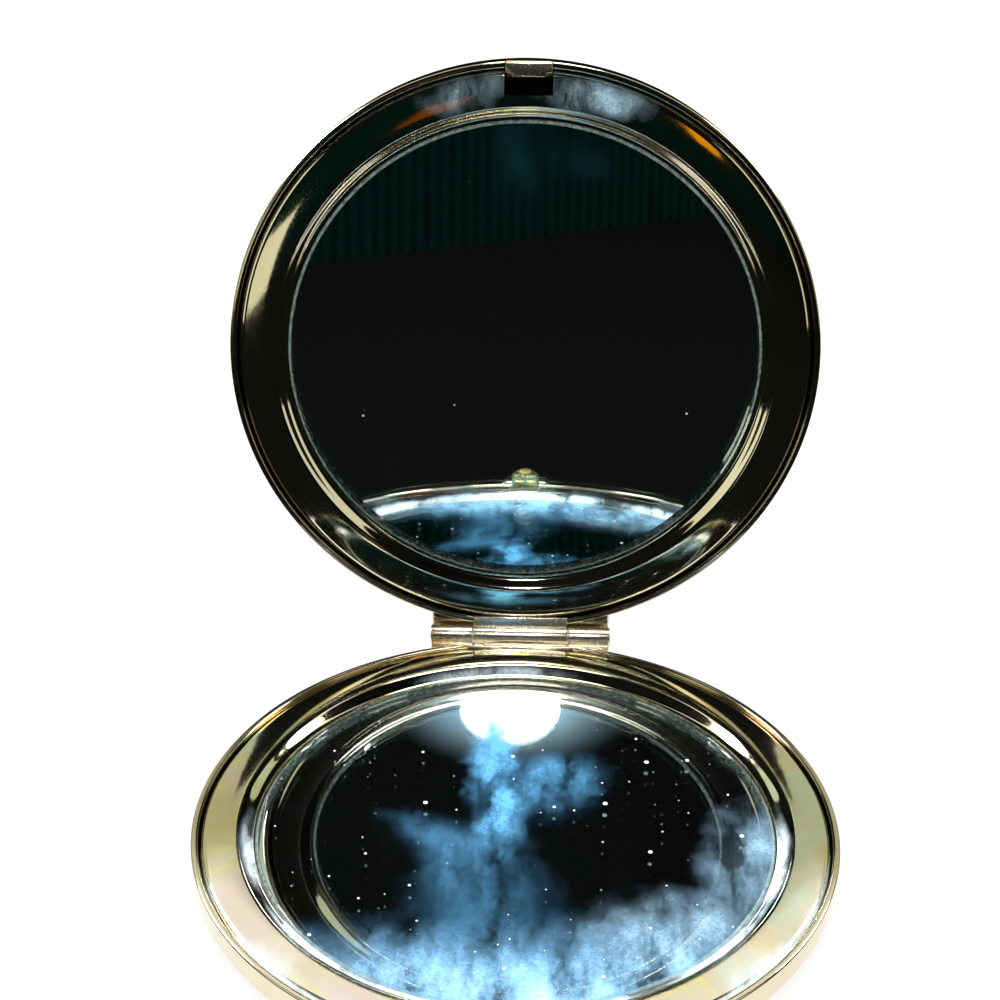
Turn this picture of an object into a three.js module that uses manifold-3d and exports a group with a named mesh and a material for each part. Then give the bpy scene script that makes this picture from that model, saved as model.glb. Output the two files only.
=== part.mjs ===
// A round compact mirror, open as it stands on a table: two plated pans joined by a
// three-knuckle hinge at the back, a glass mirror glued into each, and a push-button catch
// at the front of the base. Millimetres, +Z up, the hinge at +Y, the front at -Y. The origin
// is the middle of the flat underside of the base.

import * as THREE from 'three';
import { mergeVertices } from 'three/addons/utils/BufferGeometryUtils.js';
import Module from 'manifold-3d';

const wasm = await Module();
wasm.setup();

// The case as a whole
const caseRadius = 32.5;
const partingGap = 0.2;
const openDegrees = 96.9;
const cutOverrun = 1;

// How finely round things are divided
const caseFacets = 60;
const discFacets = 40;
const smallFacets = 16;
const domeSteps = 5;
const slopeSteps = 4;
const roundSteps = 3;

// Outer pans, one for the base and one for the lid
const panSheet = 0.7;
const domeRun = 6;
const wallHeight = 2.2;
const lipRound = 0.2;

// Inner frames, the bright rings with the pocket that holds the mirror
const frameSheet = 0.5;
const frameFit = 0.2;
const frameRound = 0.8;
const frameSkirt = 2;
const bezelWidth = 3.7;
const bezelDip = 0.1;
const slopeRun = 1.4;
const pocketLedge = 0.15;

// Mirrors: glass, the silver layer behind it, and the pad that glues it down
const glassThickness = 1.4;
const glassArris = 0.35;
const glassRecess = 1;
const glassFit = 0.15;
const silverThickness = 0.1;
const silverInset = 0.3;
const padThickness = 0.5;
const padInset = 2.2;
const layerGap = 0.1;
const trayGap = 0.9;

// Hinge at the back
const pinSetback = 1.04;
const pinRadius = 0.55;
const pinClearance = 0.05;
const knuckleRadius = 1.15;
const hingeWidth = 20.8;
const centreKnuckleWidth = 10.9;
const knuckleGap = 0.1;
const knuckleClearance = 0.19;
const leafThickness = 0.5;
const leafReach = 2.25;
const leafDrop = 0.1;
const leafFit = 0.08;
const lugInset = 0.15;
const lugHeight = 2;
const heelReach = 1.9;
const heelThickness = 0.6;
const heelWidth = 6;
const stopGap = 0.08;

// Push button: a thumb piece outside the front wall, on a stem that goes through it
const buttonWidth = 7.8;
const buttonHeight = 2.4;
const buttonThickness = 1.1;
const buttonBevel = 0.3;
const buttonTop = 0.05;
const buttonTravel = 0.7;
const buttonFit = 0.15;
const stemWidth = 3;
const stemHeight = 1.5;
const stemRise = 0.1;
const joinGap = 0.05;

// Claw that stands up from the stem and hooks under the keeper
const clawSetback = 2.08;
const clawWidth = 4.1;
const clawTopWidth = 1.3;
const clawThickness = 0.6;
const clawHeight = 2.9;
const clawShoulder = 1.5;
const wingReach = 0.7;
const wingRise = 0.35;
const wingDrop = 0.75;
const noseInset = 0.55;
const noseReach = 0.7;
const noseHeight = 1.1;
const noseThickness = 0.4;
const hollowDepth = 0.25;
const hollowRib = 0.35;

// Rivet through claw and stem, and the spring round its head
const rivetRadius = 0.4;
const rivetLength = 0.9;
const rivetHeadRadius = 0.65;
const rivetHead = 0.3;
const rivetFit = 0.05;
const springRadius = 0.9;
const springWire = 0.13;
const springTurns = 2.5;
const springGap = 0.06;
const springRise = 0.07;
const turnSteps = 8;
const wireSides = 5;

// Guide channel that holds claw and spring, under the front of the base frame
const guideSideFit = 0.2;
const guideSheet = 0.35;
const guideRise = 0.12;
const guideFront = 1.75;
const guideWall = 1.9;
const guideClear = 0.55;
const stopTabClear = 0.25;
const stopTabFit = 0.08;

// Slot for the claw in the base frame, and the room for the stem under it
const slotFit = 0.2;
const slotEndFit = 0.1;

// Notch in the front of the lid, and the keeper plate in it
const notchFit = 0.5;
const notchEndFit = 0.2;
const notchDepth = 0.95;
const keeperFit = 0.1;
const keeperSetback = 0.2;
const keeperThickness = 0.6;
const keeperDrop = 0.2;
const keeperLeg = 1.5;
const keeperLegThickness = 0.3;
const keeperLegSetback = 0.95;
const keeperRoom = 1.5;
const lipInset = 0.65;
const lipReach = 0.95;

// Places that follow from the sizes. Each half is as high as its layers need: pan, tray,
// pad, silver, glass and the recess that keeps the two mirrors apart.
const pocketFloor = panSheet + trayGap + frameSheet;
const padBottom = pocketFloor + layerGap;
const padTop = padBottom + padThickness;
const silverBottom = padTop + layerGap;
const silverTop = silverBottom + silverThickness;
const glassBottom = silverTop + layerGap;
const glassTop = glassBottom + glassThickness;
const halfHeight = glassTop + glassRecess;
const rimTop = halfHeight - partingGap / 2;
const domeTop = halfHeight - wallHeight;
const pinY = caseRadius + pinSetback;
const lugBack = pinY - knuckleRadius - knuckleClearance;
const footRadius = caseRadius - domeRun;
const frameRadius = caseRadius - panSheet - frameFit;
const bezelInnerRadius = frameRadius - bezelWidth;
const pocketRadius = bezelInnerRadius - slopeRun - pocketLedge;
const glassRadius = pocketRadius - glassFit;
const silverRadius = glassRadius - silverInset;
const padRadius = glassRadius - padInset;
const leafTop = halfHeight - leafDrop;
const leafBottom = leafTop - leafThickness;
const leafFront = pinY - leafReach;
const frontY = -caseRadius;
const wingWidth = clawWidth + 2 * wingReach;
const noseWidth = clawWidth - 2 * noseInset;
const slotWidth = clawWidth + 2 * slotFit;
const notchWidth = clawWidth + 2 * notchFit;
const keeperWidth = notchWidth - 2 * keeperFit;
const lipWidth = keeperWidth - 2 * lipInset;
const guideWidth = wingWidth + 2 * (guideSideFit + guideSheet);
const guideFrontY = frontY + guideFront;
const guideBackY = -(pocketRadius + frameSheet + guideClear);
const guideFloor = domeInside(Math.hypot(guideWidth / 2, guideFrontY)) + guideRise;
const springZ = guideFloor + guideSheet + springRise + springWire + springRadius;
const stemZ = springZ + stemRise;
const headBack = frontY - buttonTravel - buttonFit;
const clawFront = frontY + clawSetback;
const clawBack = clawFront + clawThickness;

// How high the inside of the dome is at a given radius
function domeInside(radius) {
  const share = (radius - footRadius) / (domeRun - panSheet);
  return domeTop - (domeTop - panSheet) * Math.sqrt(1 - share * share);
}

// Finishes
const nickel = { color: 0xd2ccb8, roughness: 0.12, metalness: 1 };
const brightNickel = { color: 0xdcd7c4, roughness: 0.08, metalness: 1 };
const hingeMetal = { color: 0xc9b78a, roughness: 0.25, metalness: 1 };
const steel = { color: 0xb8bab8, roughness: 0.3, metalness: 1 };
const glass = { color: 0xcfe3e0, roughness: 0.03, metalness: 0 };
const silver = { color: 0xe6ebee, roughness: 0.02, metalness: 1 };
const foam = { color: 0xd9d6cc, roughness: 0.9, metalness: 0 };

// A closed geometry as a solid that can be cut and joined
function solid(geometry) {
  const bare = geometry.index ? geometry.toNonIndexed() : geometry.clone();
  bare.deleteAttribute('normal');
  bare.deleteAttribute('uv');
  const merged = mergeVertices(bare);
  return new wasm.Manifold(new wasm.Mesh({
    numProp: 3,
    vertProperties: new Float32Array(merged.attributes.position.array),
    triVerts: new Uint32Array(merged.index.array),
  }));
}

// The surface of a solid as a geometry again
function surface(body) {
  const mesh = body.getMesh();
  const corners = [];
  for (let i = 0; i < mesh.vertProperties.length; i += mesh.numProp) {
    corners.push(...mesh.vertProperties.slice(i, i + 3));
  }
  const geometry = new THREE.BufferGeometry();
  geometry.setAttribute('position', new THREE.Float32BufferAttribute(corners, 3));
  geometry.setIndex([...mesh.triVerts]);
  const flat = geometry.toNonIndexed();
  flat.computeVertexNormals();
  return flat;
}

// A block between two values on each axis
function block([x0, x1], [y0, y1], [z0, z1]) {
  const geometry = new THREE.BoxGeometry(x1 - x0, y1 - y0, z1 - z0);
  geometry.translate((x0 + x1) / 2, (y0 + y1) / 2, (z0 + z1) / 2);
  return solid(geometry);
}

// A block centred on X
function middleBlock(width, y, z) {
  return block([-width / 2, width / 2], y, z);
}

// A body turned round Z from a profile of [radius, height] points
function turned(profile, facets) {
  const points = profile.map(([r, z]) => new THREE.Vector2(r, z));
  const geometry = new THREE.LatheGeometry(points, facets);
  geometry.rotateX(Math.PI / 2);
  return solid(geometry);
}

// A round rod along X at a given place across it
function rodX([x0, x1], radius, y, z) {
  const geometry = new THREE.CylinderGeometry(radius, radius, x1 - x0, smallFacets);
  geometry.rotateZ(Math.PI / 2);
  geometry.translate((x0 + x1) / 2, y, z);
  return solid(geometry);
}

// An outline in Y and Z pushed out evenly to both sides of the middle
function wedgeX(outline, width) {
  const shape = new THREE.Shape(outline.map(([y, z]) => new THREE.Vector2(y, z)));
  const geometry = new THREE.ExtrudeGeometry(shape, { depth: width, bevelEnabled: false });
  geometry.translate(0, 0, -width / 2);
  geometry.rotateY(Math.PI / 2);
  geometry.rotateX(Math.PI / 2);
  return solid(geometry);
}

// An outline in X and Z with its thickness along Y
function plateY(outline, [y0, y1]) {
  const shape = new THREE.Shape(outline.map(([x, z]) => new THREE.Vector2(x, z)));
  const geometry = new THREE.ExtrudeGeometry(shape, { depth: y1 - y0, bevelEnabled: false });
  geometry.rotateX(Math.PI / 2);
  geometry.translate(0, y1, 0);
  return solid(geometry);
}

// Points on a quarter of an ellipse, from the bottom of a dome to its wall
function domeArc(run, rise) {
  const arc = [];
  for (let i = 0; i <= domeSteps; i += 1) {
    const turn = (Math.PI / 2) * (i / domeSteps);
    arc.push([footRadius + run * Math.sin(turn), domeTop - rise * Math.cos(turn)]);
  }
  return arc;
}

// The gap at the back that clears the knuckles of the other half, cut straight across
function rearFlat() {
  return middleBlock(hingeWidth, [lugBack, pinY + cutOverrun], [-cutOverrun, halfHeight + cutOverrun]);
}

// The recess in the rim that a hinge leaf lies in
function leafRecess(width) {
  return middleBlock(width + 2 * leafFit, [leafFront - leafFit, pinY + cutOverrun],
    [leafBottom - leafFit, halfHeight + cutOverrun]);
}

// One stamped pan: flat foot, domed edge, upright wall with a rounded lip, and the lug
// behind the wall that the hinge leaf is soldered to
function pan(leafWidth) {
  const inner = caseRadius - panSheet;
  const outerDome = domeArc(domeRun, domeTop);
  const innerDome = domeArc(domeRun - panSheet, domeTop - panSheet).reverse();
  const profile = [
    [0, 0],
    ...outerDome,
    [caseRadius, rimTop - lipRound],
    [caseRadius - lipRound / 3, rimTop - lipRound / 3],
    [caseRadius - lipRound, rimTop],
    [inner + lipRound, rimTop],
    [inner + lipRound / 3, rimTop - lipRound / 3],
    [inner, rimTop - lipRound],
    ...innerDome,
    [0, panSheet],
  ];
  const lugTop = leafBottom - leafFit;
  const lugWidth = hingeWidth - 2 * lugInset;
  const lug = middleBlock(lugWidth, [0, lugBack], [lugTop - lugHeight, lugTop])
    .subtract(turned([[0, 0], [caseRadius - panSheet / 2, 0], [caseRadius - panSheet / 2, halfHeight],
      [0, halfHeight]], caseFacets));
  return turned(profile, caseFacets)
    .subtract(rearFlat())
    .add(lug)
    .subtract(leafRecess(leafWidth));
}

// The ledge behind the lid's lug: it runs on under the knuckles, so that no gap shows there
function lugLedge() {
  const lugFoot = leafBottom - leafFit - lugHeight;
  return middleBlock(hingeWidth - 2 * lugInset, [lugBack - knuckleClearance, pinY - knuckleClearance],
    [lugFoot, halfHeight - knuckleRadius - knuckleClearance]);
}

// One stamped frame: skirt inside the pan's wall, rounded bezel, slope and mirror pocket
function frame(leafWidth) {
  const skirtFoot = rimTop - frameSkirt;
  const roundFoot = rimTop - frameRound;
  const roundStart = frameRadius - frameRound;
  const slopeFoot = pocketRadius + pocketLedge;
  const bezelMiddle = (bezelInnerRadius + roundStart) / 2;
  const slope = [];
  for (let i = 0; i <= slopeSteps; i += 1) {
    const share = i / slopeSteps;
    const ease = share * share * (3 - 2 * share);
    slope.push([slopeFoot + slopeRun * share, glassTop + (rimTop - bezelDip - glassTop) * ease]);
  }
  const round = [];
  for (let i = 0; i <= roundSteps; i += 1) {
    const turn = (Math.PI / 2) * (i / roundSteps);
    round.push([roundStart + frameRound * Math.sin(turn), roundFoot + frameRound * Math.cos(turn)]);
  }
  const under = rimTop - frameSheet;
  const profile = [
    [0, pocketFloor - frameSheet],
    [pocketRadius + frameSheet, pocketFloor - frameSheet],
    [pocketRadius + frameSheet, glassTop - frameSheet / 2],
    [bezelInnerRadius + frameSheet / 2, under - bezelDip],
    [roundStart, under],
    [frameRadius - frameSheet, roundFoot],
    [frameRadius - frameSheet, skirtFoot],
    [frameRadius, skirtFoot],
    ...round.reverse(),
    [bezelMiddle, rimTop],
    ...slope.reverse(),
    [pocketRadius, glassTop],
    [pocketRadius, pocketFloor],
    [0, pocketFloor],
  ];
  return turned(profile, caseFacets).subtract(leafRecess(leafWidth));
}

// Glass disc with a ground arris round its upper edge
function mirrorGlass() {
  return turned([[0, glassBottom], [glassRadius, glassBottom], [glassRadius, glassTop - glassArris],
    [glassRadius - glassArris, glassTop], [0, glassTop]], caseFacets);
}

// Silver layer on the back of the glass, with its coat of paint
function mirrorSilver() {
  return turned([[0, silverBottom], [silverRadius, silverBottom], [silverRadius, silverTop],
    [0, silverTop]], discFacets);
}

// Double-sided foam pad that glues the mirror into its pocket
function mirrorPad() {
  return turned([[0, padBottom], [padRadius, padBottom], [padRadius, padTop], [0, padTop]], discFacets);
}

// A knuckle of the hinge with its bore for the pin
function knuckle(x) {
  return rodX(x, knuckleRadius, pinY, halfHeight);
}

// The bore through all knuckles
function pinBore() {
  return rodX([-hingeWidth, hingeWidth], pinRadius + pinClearance, pinY, halfHeight);
}

// Base leaf: a full-width plate with the two outer knuckles
function baseLeaf() {
  const inner = centreKnuckleWidth / 2 + knuckleGap;
  const outer = hingeWidth / 2;
  const plate = middleBlock(hingeWidth - 2 * lugInset, [leafFront, lugBack], [leafBottom, leafTop]);
  const wings = [[-outer, -inner], [inner, outer]].map((x) => knuckle(x)
    .add(block([Math.max(x[0], lugInset - outer), Math.min(x[1], outer - lugInset)],
      [leafFront, pinY], [leafBottom, leafTop])));
  return plate.add(wings[0]).add(wings[1]).subtract(pinBore());
}

// Lid leaf: a plate with the centre knuckle, and the heel that stops the lid just past upright
function lidLeaf() {
  const width = centreKnuckleWidth;
  const plate = middleBlock(width, [leafFront, pinY], [leafBottom, leafTop]);
  const halfHeel = heelThickness / 2;
  const cornerReach = Math.hypot(heelReach, halfHeel);
  const stopReach = pinY - lugBack - stopGap;
  const stopTurn = Math.acos(-stopReach / cornerReach) - Math.atan2(halfHeel, heelReach);
  const heelTurn = stopTurn - THREE.MathUtils.degToRad(openDegrees);
  const heel = new THREE.BoxGeometry(heelWidth, heelReach, heelThickness);
  heel.translate(0, heelReach / 2, 0);
  heel.rotateX(heelTurn);
  heel.translate(0, pinY, halfHeight);
  return plate.add(knuckle([-width / 2, width / 2])).add(solid(heel)).subtract(pinBore());
}

// Hinge pin, pressed into the outer knuckles' length
function hingePin() {
  return rodX([-hingeWidth / 2, hingeWidth / 2], pinRadius, pinY, halfHeight);
}

// The window in the pan's front wall that the stem goes through
function stemWindow() {
  return middleBlock(stemWidth + 2 * buttonFit, [frontY - cutOverrun, frontY + panSheet + cutOverrun],
    [stemZ - stemHeight / 2 - buttonFit, stemZ + stemHeight / 2 + buttonFit]);
}

// The slot for the claw in the frame, and the way for the stem through the frame's skirt
function catchRoom() {
  const under = rimTop - frameSheet;
  const skirtRoom = middleBlock(slotWidth, [frontY, clawFront],
    [domeTop - cutOverrun, under - bezelDip]);
  const slot = middleBlock(slotWidth,
    [clawFront - noseReach - slotEndFit, clawBack + buttonTravel + slotEndFit],
    [under - frameSheet, halfHeight + cutOverrun]);
  return skirtRoom.add(slot);
}

// Guide: a channel with a back wall for the spring and two tabs that stop the claw's wings
function catchGuide() {
  const floor = guideFloor;
  const wallTop = floor + guideWall;
  const back = guideBackY;
  const front = guideFrontY;
  const tabBack = clawFront - stopTabFit;
  const plate = middleBlock(guideWidth, [front, back], [floor, floor + guideSheet]);
  const rear = middleBlock(guideWidth, [back - guideSheet, back], [floor, wallTop]);
  let guide = plate.add(rear);
  for (const side of [-1, 1]) {
    const outer = side * guideWidth / 2;
    const wall = [outer, outer - side * guideSheet].sort((a, b) => a - b);
    const tabInner = side * (clawWidth / 2 + stopTabClear);
    const tab = [outer, tabInner].sort((a, b) => a - b);
    guide = guide.add(block(wall, [front, back], [floor, wallTop]));
    guide = guide.add(block(tab, [front, tabBack], [floor, wallTop]));
  }
  return guide;
}

// A rod along Y on the line of the rivet
function rodY(radius, [y0, y1]) {
  const geometry = new THREE.CylinderGeometry(radius, radius, y1 - y0, smallFacets);
  geometry.translate(0, (y0 + y1) / 2, springZ);
  return solid(geometry);
}

// The hole for the rivet, through the claw and into the stem
function rivetHole() {
  return rodY(rivetRadius + rivetFit, [clawFront - rivetLength, clawBack + cutOverrun]);
}

// Button: a pill-shaped thumb piece with bevelled edges, and its stem
function catchButton() {
  const corner = buttonHeight / 2 - buttonBevel;
  const straight = (buttonWidth - buttonHeight) / 2;
  const outline = new THREE.Shape();
  outline.absarc(straight, 0, corner, -Math.PI / 2, Math.PI / 2);
  outline.absarc(-straight, 0, corner, Math.PI / 2, Math.PI * 3 / 2);
  const head = new THREE.ExtrudeGeometry(outline, {
    depth: buttonThickness - 2 * buttonBevel, bevelThickness: buttonBevel, bevelSize: buttonBevel,
    bevelSegments: roundSteps, curveSegments: smallFacets / 2,
  });
  head.rotateX(Math.PI / 2);
  head.translate(0, headBack - buttonBevel, halfHeight - buttonTop - buttonHeight / 2);
  const stem = middleBlock(stemWidth, [headBack - joinGap, clawFront - joinGap],
    [stemZ - stemHeight / 2, stemZ + stemHeight / 2]);
  return solid(head).add(stem).subtract(rivetHole());
}

// Claw: a plate with a wing at each side below, a hooked nose at the front, and two pressed
// hollows beside a rib at the back
function catchClaw() {
  const half = clawWidth / 2;
  const wing = wingWidth / 2;
  const top = halfHeight + clawHeight;
  const shoulder = halfHeight + clawShoulder;
  const tail = springZ - wingDrop;
  const wingTop = springZ + wingRise;
  const plate = plateY([[-wing, tail], [wing, tail], [wing, wingTop], [half, wingTop],
    [half, shoulder], [clawTopWidth / 2, top], [-clawTopWidth / 2, top], [-half, shoulder],
    [-half, wingTop], [-wing, wingTop]], [clawFront, clawBack]);
  const noseFoot = halfHeight + noseHeight;
  const noseTip = clawFront - noseReach;
  const noseEnd = clawFront + joinGap;
  const nose = (width, rise) => wedgeX([[noseEnd, noseFoot], [noseEnd, rise], [clawFront, rise],
    [noseTip, noseFoot + noseThickness], [noseTip, noseFoot]], width);
  let claw = plate.add(nose(clawTopWidth, top)).add(nose(noseWidth, shoulder + noseThickness));
  for (const side of [-1, 1]) {
    const hollow = [[side * hollowRib / 2, halfHeight + hollowRib],
      [side * (half - hollowRib), halfHeight + hollowRib],
      [side * (half - hollowRib), shoulder - hollowRib / 2],
      [side * hollowRib / 2, top - 2 * hollowRib]];
    const outline = side > 0 ? hollow : hollow.reverse();
    claw = claw.subtract(plateY(outline, [clawBack - hollowDepth, clawBack + cutOverrun]));
  }
  return claw.subtract(rivetHole());
}

// Rivet that joins claw and stem; its head also centres the spring
function catchRivet() {
  return rodY(rivetRadius, [clawFront - rivetLength + joinGap, clawBack + rivetHead])
    .add(rodY(rivetHeadRadius, [clawBack + joinGap, clawBack + rivetHead]));
}

// Coil spring between the claw and the back of the guide, one unbroken wire
function catchSpring() {
  const start = clawBack + springWire + springGap;
  const end = guideBackY - guideSheet - springWire - springGap;
  const points = [];
  for (let i = 0; i <= springTurns * turnSteps; i += 1) {
    const share = i / (springTurns * turnSteps);
    const turn = 2 * Math.PI * springTurns * share;
    points.push(new THREE.Vector3(springRadius * Math.cos(turn), start + (end - start) * share,
      springZ + springRadius * Math.sin(turn)));
  }
  const wire = new THREE.Shape();
  for (let i = 0; i < wireSides; i += 1) {
    const turn = (2 * Math.PI * i) / wireSides;
    const x = springWire * Math.cos(turn);
    const y = springWire * Math.sin(turn);
    if (i === 0) wire.moveTo(x, y);
    else wire.lineTo(x, y);
  }
  wire.closePath();
  const path = new THREE.CatmullRomCurve3(points);
  return solid(new THREE.ExtrudeGeometry(wire, { steps: springTurns * turnSteps, extrudePath: path }));
}

// The notch in the front of the lid, through frame and lip
function lidNotch() {
  const upper = middleBlock(notchWidth,
    [frontY - cutOverrun, clawBack + buttonTravel + notchEndFit],
    [halfHeight - notchDepth, halfHeight + cutOverrun]);
  const room = middleBlock(notchWidth, [frontY + panSheet, frontY + keeperRoom],
    [domeTop - cutOverrun, halfHeight]);
  return { upper, room };
}

// Keeper: a plate in the notch with a narrower lip that the claw hooks under, and a leg
// that is soldered inside the wall
function catchKeeper() {
  const top = halfHeight - keeperDrop;
  const plateBack = frontY + keeperLegSetback + keeperLegThickness;
  const plate = middleBlock(keeperWidth, [frontY + keeperSetback, plateBack],
    [top - keeperThickness, top]);
  const lip = middleBlock(lipWidth, [plateBack - joinGap, frontY + panSheet + lipReach],
    [top - keeperThickness, top]);
  const leg = middleBlock(keeperWidth, [frontY + keeperLegSetback, plateBack],
    [top - keeperThickness - keeperLeg, top - joinGap]);
  return plate.add(lip).add(leg);
}

// A named mesh with its own material
function piece(name, body, finish) {
  const mesh = new THREE.Mesh(surface(body), new THREE.MeshStandardMaterial(finish));
  mesh.name = name;
  return mesh;
}

const notch = lidNotch();

const base = new THREE.Group();
base.add(piece('base_shell', pan(hingeWidth).subtract(stemWindow()), nickel));
base.add(piece('base_frame', frame(hingeWidth).subtract(catchRoom()), brightNickel));
base.add(piece('base_mirror_glass', mirrorGlass(), glass));
base.add(piece('base_mirror_silvering', mirrorSilver(), silver));
base.add(piece('base_mirror_pad', mirrorPad(), foam));
base.add(piece('base_hinge_leaf', baseLeaf(), hingeMetal));
base.add(piece('hinge_pin', hingePin(), steel));
base.add(piece('catch_guide', catchGuide(), steel));
base.add(piece('catch_spring', catchSpring(), steel));

const push = new THREE.Group();
push.add(piece('catch_button', catchButton(), nickel));
push.add(piece('catch_claw', catchClaw(), brightNickel));
push.add(piece('catch_rivet', catchRivet(), steel));

// The lid is made like the base, its hinge at +Y, then swung half a turn round the pin to
// lie flat behind the base, and raised to the angle that it stands open at
const lidFlat = new THREE.Group();
lidFlat.add(piece('lid_shell', pan(centreKnuckleWidth).add(lugLedge()).subtract(notch.upper),
  nickel));
lidFlat.add(piece('lid_frame', frame(centreKnuckleWidth).subtract(notch.upper).subtract(notch.room),
  brightNickel));
lidFlat.add(piece('lid_mirror_glass', mirrorGlass(), glass));
lidFlat.add(piece('lid_mirror_silvering', mirrorSilver(), silver));
lidFlat.add(piece('lid_mirror_pad', mirrorPad(), foam));
lidFlat.add(piece('lid_hinge_leaf', lidLeaf(), hingeMetal));
lidFlat.add(piece('catch_keeper', catchKeeper(), steel));
lidFlat.rotation.z = Math.PI;
lidFlat.position.set(0, pinY, -halfHeight);

const lid = new THREE.Group();
lid.add(lidFlat);
lid.rotation.x = THREE.MathUtils.degToRad(180 - openDegrees);
lid.position.set(0, pinY, halfHeight);

const compact = new THREE.Group();
compact.add(base);
compact.add(push);
compact.add(lid);

export default compact;
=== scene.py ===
import math

import bpy
from mathutils import Matrix, Vector


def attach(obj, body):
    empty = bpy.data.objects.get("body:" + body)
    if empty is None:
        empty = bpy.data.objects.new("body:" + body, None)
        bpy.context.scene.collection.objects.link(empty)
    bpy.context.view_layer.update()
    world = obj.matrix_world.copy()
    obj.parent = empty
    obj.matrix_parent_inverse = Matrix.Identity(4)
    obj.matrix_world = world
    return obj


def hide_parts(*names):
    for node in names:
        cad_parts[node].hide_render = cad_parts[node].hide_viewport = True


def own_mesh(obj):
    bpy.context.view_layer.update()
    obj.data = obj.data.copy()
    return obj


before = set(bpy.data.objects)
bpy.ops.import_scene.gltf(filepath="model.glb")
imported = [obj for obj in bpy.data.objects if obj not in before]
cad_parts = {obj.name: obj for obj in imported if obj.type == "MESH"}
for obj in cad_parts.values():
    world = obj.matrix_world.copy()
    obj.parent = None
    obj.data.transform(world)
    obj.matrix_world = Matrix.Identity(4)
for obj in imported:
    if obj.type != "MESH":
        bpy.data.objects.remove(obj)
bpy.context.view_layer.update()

MM = 0.001


# Camera. The photograph was taken from close by, a hand's breadth above the table, so the
# front of the base runs out of the picture below.
CAMERA_PLACE = Vector((1.252, -152.52, 125.27)) * MM
CAMERA_DOWN = math.radians(28.70)
CAMERA_TURN = math.radians(1.15)
CAMERA_ROLL = math.radians(0.47)
CAMERA_LENS_MM = 68.16
SENSOR_MM = 36

bpy.ops.object.camera_add()
camera = bpy.context.active_object
camera.name = "photo_camera"
camera.matrix_world = (
    Matrix.Translation(CAMERA_PLACE)
    @ Matrix.Rotation(CAMERA_TURN, 4, "Z")
    @ Matrix.Rotation(math.pi / 2 - CAMERA_DOWN, 4, "X")
    @ Matrix.Rotation(CAMERA_ROLL, 4, "Z")
)
camera.data.lens = CAMERA_LENS_MM
camera.data.sensor_width = SENSOR_MM
camera.data.clip_start = MM
bpy.context.scene.camera = camera
bpy.context.scene.view_settings.view_transform = "Standard"


# Table and surroundings. A pale matt table under a bright white sky. A dark cloth on the
# table, a dark ribbed curtain and a beige wall are there for the mirrors and the plated
# metal to show.
def linear(hex_colour):
    """An sRGB hex colour as the linear colour that shaders take."""
    parts = [int(hex_colour[i : i + 2], 16) / 255 for i in (1, 3, 5)]
    return tuple(
        p / 12.92 if p <= 0.04045 else ((p + 0.055) / 1.055) ** 2.4 for p in parts
    ) + (1.0,)


def add_node(tree, kind, settings=None, links=None):
    """Adds a shader node, sets its sockets or properties, and links its inputs."""
    node = tree.nodes.new(kind)
    for key, value in (settings or {}).items():
        if isinstance(key, int) or key in node.inputs:
            node.inputs[key].default_value = value
        else:
            setattr(node, key, value)
    for key, source in (links or {}).items():
        tree.links.new(source, node.inputs[key])
    return node


def new_material(name):
    """An empty material and its output node."""
    material = bpy.data.materials.new(name)
    material.use_nodes = True
    material.node_tree.nodes.clear()
    return material, material.node_tree.nodes.new("ShaderNodeOutputMaterial")


def shown_rays(tree):
    """1 for rays from the camera and from glossy or clear surfaces, otherwise 0."""
    path = add_node(tree, "ShaderNodeLightPath")
    either = add_node(
        tree,
        "ShaderNodeMath",
        {"operation": "MAXIMUM"},
        {0: path.outputs["Is Camera Ray"], 1: path.outputs["Is Glossy Ray"]},
    )
    return add_node(
        tree,
        "ShaderNodeMath",
        {"operation": "MAXIMUM"},
        {0: either.outputs[0], 1: path.outputs["Is Transmission Ray"]},
    ).outputs[0]


def set_only(obj, material):
    """Gives a piece this material and no other."""
    obj.data.materials.clear()
    obj.data.materials.append(material)


FLOOR_SIZE = 8.0
FLOOR_COLOUR = "#f3f2ef"
FLOOR_SHADE = "#eeede9"
FIBRE_MM = 1.5
FLOOR_GLOW_SHARE = 0.82
SKY_COLOUR = "#ffffff"
SKY_STRENGTH = 0.7

world = bpy.data.worlds.new("white_sky")
bpy.context.scene.world = world
world.use_nodes = True
sky = world.node_tree
sky.nodes.clear()
sky_out = sky.nodes.new("ShaderNodeOutputWorld")
sky_light = add_node(
    sky, "ShaderNodeBackground", {"Color": linear(SKY_COLOUR), "Strength": SKY_STRENGTH}
)
sky_seen = add_node(sky, "ShaderNodeBackground", {"Color": linear(SKY_COLOUR), "Strength": 1.0})
sky_mix = add_node(sky, "ShaderNodeMixShader", None, {"Fac": shown_rays(sky)})
sky.links.new(sky_light.outputs[0], sky_mix.inputs[1])
sky.links.new(sky_seen.outputs[0], sky_mix.inputs[2])
sky.links.new(sky_mix.outputs[0], sky_out.inputs["Surface"])

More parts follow.
